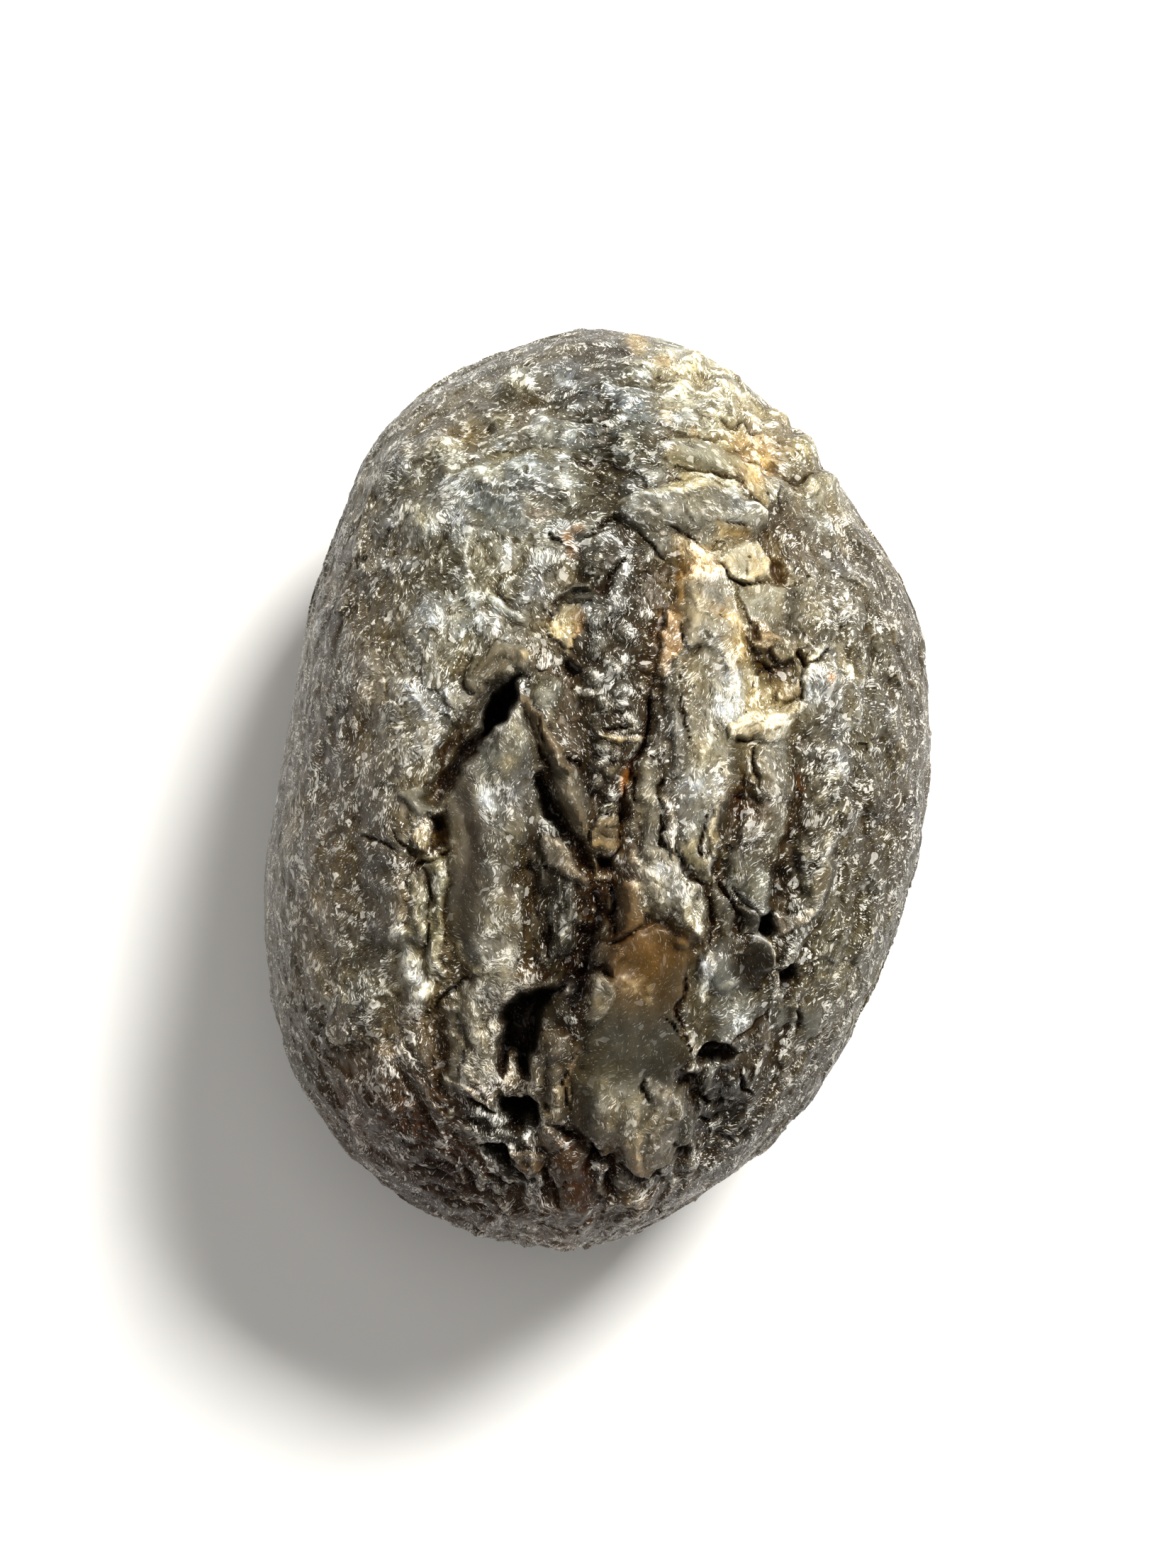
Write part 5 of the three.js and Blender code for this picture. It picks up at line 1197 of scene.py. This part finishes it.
def carry_down(values):
    """What the edge of the face has, evened out and carried straight down over the back."""
    ends = np.concatenate([values[-EDGE_BLEND:], values, values[:EDGE_BLEND]])
    even = np.convolve(ends, np.full(2 * EDGE_BLEND + 1, 1 / (2 * EDGE_BLEND + 1)), "valid")
    return np.interp(back_turn, edge_turn, even, period=2 * np.pi)


near_edge = smooth_step(back_reach, 0.55, 0.98)
edge_tint = np.stack([carry_down(tint[edge, i]) for i in range(3)], -1)
plain_rind = 0.7 * np.array(RIND)
back_tint = plain_rind + near_edge[:, None] * (edge_tint - plain_rind)
back_tint *= (1 + swells(back, (0.30, 3.4, 71), (0.30, 1.2, 72)))[:, None]
back_crush_and_glints = PLAIN_CRUSH_AND_GLINTS + near_edge * (carry_down(crush_and_glints[edge]) - PLAIN_CRUSH_AND_GLINTS)
back_crush_and_glints = np.clip(back_crush_and_glints + 0.30 * noise(back, 2.4, 76), 0, 1)

# ------------------------------------------------------------------------------------------------
# The skin. Face and back are pushed out by their relief and closed into one mesh round the girth,
# where the fine net of the face meets the coarser one of the back. It carries colour, crushing with
# its painted glints and the run of the marks at its points, and is thinned where it is flat.
# ------------------------------------------------------------------------------------------------

MM = 0.001
STONE_TRIANGLES = 192_000
SHARPEST_BEND = math.radians(58)  # edges that bend more than this stay sharp

face = face + face_push * height[:, None]
back = back + back_push * back_grain[:, None]


def net_index(across, along):
    return np.arange((across + 1) * (along + 1)).reshape(along + 1, across + 1)


face_net = net_index(CELLS_ACROSS, CELLS_ALONG)
back_net = net_index(CELLS_ACROSS // BACK_STEP, CELLS_ALONG // BACK_STEP) + len(face)
back_net[0, :] = face_net[0, ::BACK_STEP]
back_net[-1, :] = face_net[-1, ::BACK_STEP]
back_net[:, 0] = face_net[::BACK_STEP, 0]
back_net[:, -1] = face_net[::BACK_STEP, -1]

quads = np.stack([face_net[:-1, :-1], face_net[:-1, 1:], face_net[1:, 1:], face_net[1:, :-1]], -1)
polygons = quads.reshape(-1, 4).tolist()

# The outermost meshes of the back also take in the finer points of the face along the girth.
rows, columns = back_net.shape[0] - 1, back_net.shape[1] - 1
for row in range(rows):
    for col in range(columns):
        fine_row, fine_col = row * BACK_STEP, col * BACK_STEP
        low = [back_net[row, col], back_net[row, col + 1]]
        high = [back_net[row + 1, col + 1], back_net[row + 1, col]]
        left, right = [], []
        if row == 0:
            low = face_net[0, fine_col:fine_col + BACK_STEP + 1].tolist()
        if row == rows - 1:
            high = face_net[-1, fine_col:fine_col + BACK_STEP + 1].tolist()[::-1]
        if col == columns - 1:
            right = face_net[fine_row + 1:fine_row + BACK_STEP, -1].tolist()
        if col == 0:
            left = face_net[fine_row + 1:fine_row + BACK_STEP, 0].tolist()[::-1]
        polygons.append([int(i) for i in (low + right + high + left)[::-1]])

# Nothing reaches below the bench. There the back has a small flat that the stone rests on.
places = np.concatenate([face, back])
places[:, 2] = np.maximum(places[:, 2], 0.0)
colours = np.concatenate([
    np.column_stack([tint, clean]),
    np.column_stack([back_tint, np.zeros(len(back))]),
])

# Points of the back on the girth have given way to those of the face, and are dropped.
used = np.zeros(len(places), bool)
for polygon in polygons:
    used[polygon] = True
renumber = np.cumsum(used) - 1
polygons = [renumber[polygon].tolist() for polygon in polygons]

mesh = bpy.data.meshes.new("cobble")
mesh.from_pydata((places[used] * MM).tolist(), [], polygons)
layer = mesh.color_attributes.new("tint", "FLOAT_COLOR", "POINT")
layer.data.foreach_set("color", np.clip(colours[used], 0, 1).astype(np.float32).ravel())
layer = mesh.attributes.new("crush_and_glints", "FLOAT", "POINT")
layer.data.foreach_set("value", np.concatenate([crush_and_glints, back_crush_and_glints])[used].astype(np.float32))
layer = mesh.attributes.new("way", "FLOAT", "POINT")
layer.data.foreach_set("value", np.concatenate([way, back_turn])[used].astype(np.float32))
cobble = bpy.data.objects.new("cobble", mesh)
bpy.context.collection.objects.link(cobble)

triangles = sum(len(polygon) - 2 for polygon in polygons)
thin = cobble.modifiers.new("thin", "DECIMATE")
thin.ratio = STONE_TRIANGLES / triangles
bpy.context.view_layer.objects.active = cobble
cobble.select_set(True)
bpy.ops.object.modifier_apply(modifier="thin")
cobble.data.polygons.foreach_set("use_smooth", [True] * len(cobble.data.polygons))
cobble.data.set_sharp_from_angle(angle=SHARPEST_BEND)

# ------------------------------------------------------------------------------------------------
# Finish of the glass. Crushed white where it broke against itself, clean where a leaf came away
# whole. Hackle marks, small flakes, pits and dust lie over the colour that the skin carries; the
# white marks are partly painted glints, and a few flakes are painted white as glints. The thin
# edges let a little light into the stone.
# ------------------------------------------------------------------------------------------------

FIELD_SIZE = 2.0  # millimetres, as every size of the finish
BUMP_HEIGHT = 0.35
LIGHT_DEPTH = 0.9  # how far light gets into the glass
DEEP_SHADE_TURNS = (0.88, 1.0, 1.25)  # powers of red, green and blue, so that shade goes brown
# White of the marks, partly painted glints.
MARK_AND_GLINT_WHITE = (0.60, 0.595, 0.56)

glass = bpy.data.materials.new("frosted obsidian")
glass.use_nodes = True
nodes, links = glass.node_tree.nodes, glass.node_tree.links
shader = nodes["Principled BSDF"]


def wire(made, inputs):
    """Gives a node its inputs in turn, each a fixed value or another node's output."""
    for socket, value in zip(made.inputs, inputs):
        if isinstance(value, (int, float, tuple)):
            socket.default_value = value
        else:
            links.new(value, socket)


def maths(operation, a, b):
    made = nodes.new("ShaderNodeMath")
    made.operation = operation
    wire(made, (a, b))
    return made.outputs[0]


def plus(a, b):
    return maths("ADD", a, b)


def less(a, b):
    return maths("SUBTRACT", a, b)


def times(a, b):
    return maths("MULTIPLY", a, b)


def larger(a, b):
    return maths("MAXIMUM", a, b)


def vector_maths(operation, a, b):
    made = nodes.new("ShaderNodeVectorMath")
    made.operation = operation
    wire(made, (a, b))
    return made.outputs["Value"] if operation == "DOT_PRODUCT" else made.outputs["Vector"]


def carried(name):
    """What the skin carries at its points under a name."""
    made = nodes.new("ShaderNodeAttribute")
    made.attribute_name = name
    return made.outputs


def clouds(scale, detail):
    """A plain noise pattern."""
    made = nodes.new("ShaderNodeTexNoise")
    made.inputs["Scale"].default_value = scale
    made.inputs["Detail"].default_value = detail
    return made


def centred(colour):
    """Random colours as values from -0.5 to 0.5."""
    return vector_maths("SUBTRACT", colour, (0.5, 0.5, 0.5))


def moved(place, shift):
    """Another part of the same endless pattern."""
    return vector_maths("ADD", place, (shift, shift * 1.7, shift * 0.6))


def above(value, low, high):
    """0 where a value is below low, 1 where it is over high."""
    made = nodes.new("ShaderNodeMapRange")
    made.interpolation_type = "SMOOTHSTEP"
    links.new(value, made.inputs["Value"])
    made.inputs["From Min"].default_value = low
    made.inputs["From Max"].default_value = high
    return made.outputs["Result"]


place = nodes.new("ShaderNodeTexCoord").outputs["Object"]
in_mm = vector_maths("MULTIPLY", place, (1000.0, 1000.0, 1000.0))
paint = carried("tint")
colour, clean_part = paint["Color"], paint["Alpha"]
crushing_and_glints = times(less(carried("crush_and_glints")["Fac"], 0.5), 0.42)
rough_part = less(1.0, clean_part)

# The glass breaks in small fields. Inside a field the hackle marks run straight and side by side,
# and they turn where the next field starts.
run = carried("way")["Fac"]
wavy = clouds(0.8, 2.0)
links.new(in_mm, wavy.inputs["Vector"])
wander = centred(wavy.outputs["Color"])
wandered = vector_maths("ADD", in_mm, vector_maths("MULTIPLY", wander, (1.1, 1.1, 1.1)))


def cells_of(place, scale):
    """Cells packed through space, the lean of each point in its own, and three chances for each."""
    cells = nodes.new("ShaderNodeTexVoronoi")
    cells.inputs["Scale"].default_value = scale
    links.new(place, cells.inputs["Vector"])
    chance = nodes.new("ShaderNodeSeparateColor")
    links.new(cells.outputs["Color"], chance.inputs["Color"])
    from_middle = vector_maths("SUBTRACT", place, cells.outputs["Position"])
    lean = vector_maths("DOT_PRODUCT", from_middle, centred(cells.outputs["Color"]))
    return cells.outputs["Color"], from_middle, lean, chance.outputs


field, from_middle, field_rise, field_chance = cells_of(wandered, 1 / FIELD_SIZE)
heading = plus(run, times(less(field_chance["Red"], 0.5), 1.7))
turned = nodes.new("ShaderNodeVectorRotate")
turned.rotation_type = "Z_AXIS"
turned.invert = True
links.new(from_middle, turned.inputs["Vector"])
links.new(heading, turned.inputs["Angle"])
laid = vector_maths("ADD", turned.outputs["Vector"],
                    vector_maths("MULTIPLY", field, (40.0, 40.0, 40.0)))


def along_marks(across, stretch):
    """Places drawn out along the marks of their field; across is lines per millimetre."""
    return vector_maths("MULTIPLY", laid, (across / stretch, across, across / stretch))


def hackle(across, stretch, detail, shift):
    """Noise drawn out along the marks, finer the more detail it has."""
    made = clouds(1.0, detail)
    links.new(moved(along_marks(across, stretch), shift), made.inputs["Vector"])
    return made.outputs["Fac"]


ground = clouds(1.0, 3.0)
links.new(moved(in_mm, 35.0), ground.inputs["Vector"])
clusters = above(plus(ground.outputs["Fac"], crushing_and_glints), 0.42, 0.70)
thicker = less(times(clusters, 0.115), 0.012)


def marks(across, stretch, low, high, shift):
    """Crushed white marks of one size, partly painted glints, thicker on the ground within the
    clusters.
    """
    return above(plus(hackle(across, stretch, 1.0, shift), thicker), low, high)


def flakes(across, stretch, shift):
    """Flat flakes lying along the marks: the tilt of each, and its chances."""
    _, _, tilt, chance = cells_of(moved(along_marks(across, stretch), shift), 1.0)
    return tilt, chance


wide_flake, wide_chance = flakes(1.6, 1.8, 3.0)
fine_flake, fine_chance = flakes(4.2, 1.7, 13.0)
# White hackle marks of three sizes: crushed glass, partly painted glints.
marks_and_glints = larger(marks(5.0, 5.0, 0.745, 0.785, 3.0), marks(9.0, 4.5, 0.69, 0.73, 9.0))
marks_and_glints = larger(marks_and_glints, marks(16.0, 3.5, 0.64, 0.70, 15.0))
# A few flakes painted white: painted glints.
painted_glint = above(plus(fine_chance["Red"], times(thicker, 0.8)), 0.955, 0.975)
marks_and_glints = larger(marks_and_glints, times(painted_glint, 0.6))
marks_and_glints = times(marks_and_glints, plus(times(rough_part, 0.75), 0.08))
pits = above(hackle(2.6, 1.8, 3.0, 51.0), 0.61, 0.69)
fine_pits = above(hackle(9.0, 2.2, 2.0, 61.0), 0.53, 0.62)
dust = clouds(9.0, 3.0)
dust.inputs["Roughness"].default_value = 0.7
links.new(in_mm, dust.inputs["Vector"])

relief = plus(times(hackle(1.9, 2.5, 4.0, 1.0), 0.30), times(wide_flake, 0.36))
relief = plus(relief, times(fine_flake, 0.24))
relief = plus(relief, times(field_rise, 0.5))
relief = times(relief, plus(times(rough_part, 0.85), 0.15))
relief = plus(relief, times(marks_and_glints, 0.08))
bump = nodes.new("ShaderNodeBump")
bump.inputs["Strength"].default_value = 1.0
bump.inputs["Distance"].default_value = BUMP_HEIGHT * MM
links.new(relief, bump.inputs["Height"])
links.new(bump.outputs["Normal"], shader.inputs["Normal"])

# Shade: field by field and flake by flake, under mottling, clusters, dust and pits.
flake_tone = plus(times(wide_chance["Green"], 0.3), times(fine_chance["Green"], 0.7))
flake_tone = plus(times(flake_tone, times(rough_part, 0.9)), 0.58)
field_tone = times(less(field_chance["Green"], 0.5), rough_part)
field_tone = plus(times(field_tone, 0.5), 1.0)
shade = plus(times(above(hackle(1.3, 1.8, 4.0, 21.0), 0.3, 0.7), 0.24), 0.74)
shade = times(times(shade, field_tone), flake_tone)
shade = times(shade, plus(times(clusters, times(rough_part, 0.52)), 0.86))
shade = times(shade, plus(times(dust.outputs["Fac"], 0.5), 0.80))
shade = times(shade, less(1.0, times(pits, times(rough_part, 0.7))))
shade = times(shade, less(1.12, times(fine_pits, times(rough_part, 0.55))))
browned = nodes.new("ShaderNodeCombineXYZ")
for socket, power in zip(browned.inputs, DEEP_SHADE_TURNS):
    links.new(maths("POWER", shade, power), socket)
shaded = vector_maths("MULTIPLY", colour, browned.outputs["Vector"])
# The pale colour of the marks, partly painted glints.
mark_and_glint_colour = vector_maths("ADD", vector_maths("MULTIPLY", colour, (1.4, 1.4, 1.4)), MARK_AND_GLINT_WHITE)
whiten = nodes.new("ShaderNodeMix")
whiten.data_type = "RGBA"
links.new(marks_and_glints, whiten.inputs["Factor"])
links.new(shaded, whiten.inputs["A"])
links.new(mark_and_glint_colour, whiten.inputs["B"])
links.new(whiten.outputs["Result"], shader.inputs["Base Color"])

links.new(plus(times(fine_chance["Blue"], 0.36), 0.30), shader.inputs["Roughness"])
for name, value in (
    ("IOR", 1.5), ("Specular IOR Level", 0.30), ("Specular Tint", (1.0, 0.88, 0.72, 1.0)),
    ("Coat Weight", 0.03), ("Coat Roughness", 0.12), ("Subsurface Weight", 0.12),
    ("Subsurface Radius", (1.0, 0.70, 0.40)), ("Subsurface Scale", LIGHT_DEPTH * MM),
):
    shader.inputs[name].default_value = value
cobble.data.materials.append(glass)

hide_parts("obsidian_cobble")
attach(cobble, "root")

# ------------------------------------------------------------------------------------------------
# Floor, light and camera. The stone lies on its back on a plain pale sheet, under a soft box at the
# upper right and a weaker one overhead. The camera looks straight down on the broken face.
# ------------------------------------------------------------------------------------------------

SHEET_SIZE = 1.6  # metres, as every place and size of the lights
STONE_MIDDLE = (0, 0, 0.02)
CAMERA_PLACE = (-0.524, 0.242, 254.0)  # millimetres
FILM_WIDTH, LENS_LENGTH = 36.0, 96.9

bpy.ops.mesh.primitive_plane_add(size=SHEET_SIZE, location=(0, 0, 0))
floor = bpy.context.object
floor.name = "floor"
paper = bpy.data.materials.new("paper")
paper.use_nodes = True
paper.node_tree.nodes["Principled BSDF"].inputs["Base Color"].default_value = (0.9, 0.9, 0.89, 1)
paper.node_tree.nodes["Principled BSDF"].inputs["Roughness"].default_value = 0.9
floor.data.materials.append(paper)


def softbox(name, place, size, power, colour):
    lamp = bpy.data.lights.new(name, "AREA")
    lamp.shape = "RECTANGLE"
    lamp.size, lamp.size_y = size
    lamp.energy = power
    lamp.color = colour
    holder = bpy.data.objects.new(name, lamp)
    holder.location = place
    aim = Vector(STONE_MIDDLE) - Vector(place)
    holder.rotation_euler = aim.to_track_quat("-Z", "Y").to_euler()
    bpy.context.collection.objects.link(holder)


softbox("key", place=(0.22, 0.29, 0.42), size=(0.17, 0.15), power=6.1, colour=(1.0, 0.98, 0.94))
softbox("fill", place=(-0.05, 0.05, 0.60), size=(0.4, 0.4), power=0.9, colour=(1.0, 0.97, 0.925))
world = bpy.data.worlds.new("room")
world.use_nodes = True
world.node_tree.nodes["Background"].inputs["Color"].default_value = (1.0, 0.97, 0.93, 1)
world.node_tree.nodes["Background"].inputs["Strength"].default_value = 0.17
bpy.context.scene.world = world
bpy.context.scene.view_settings.view_transform = "Standard"

lens = bpy.data.cameras.new("camera")
lens.sensor_width = FILM_WIDTH
lens.lens = LENS_LENGTH
camera = bpy.data.objects.new("camera", lens)
camera.location = [length * MM for length in CAMERA_PLACE]
bpy.context.collection.objects.link(camera)
bpy.context.scene.camera = camera
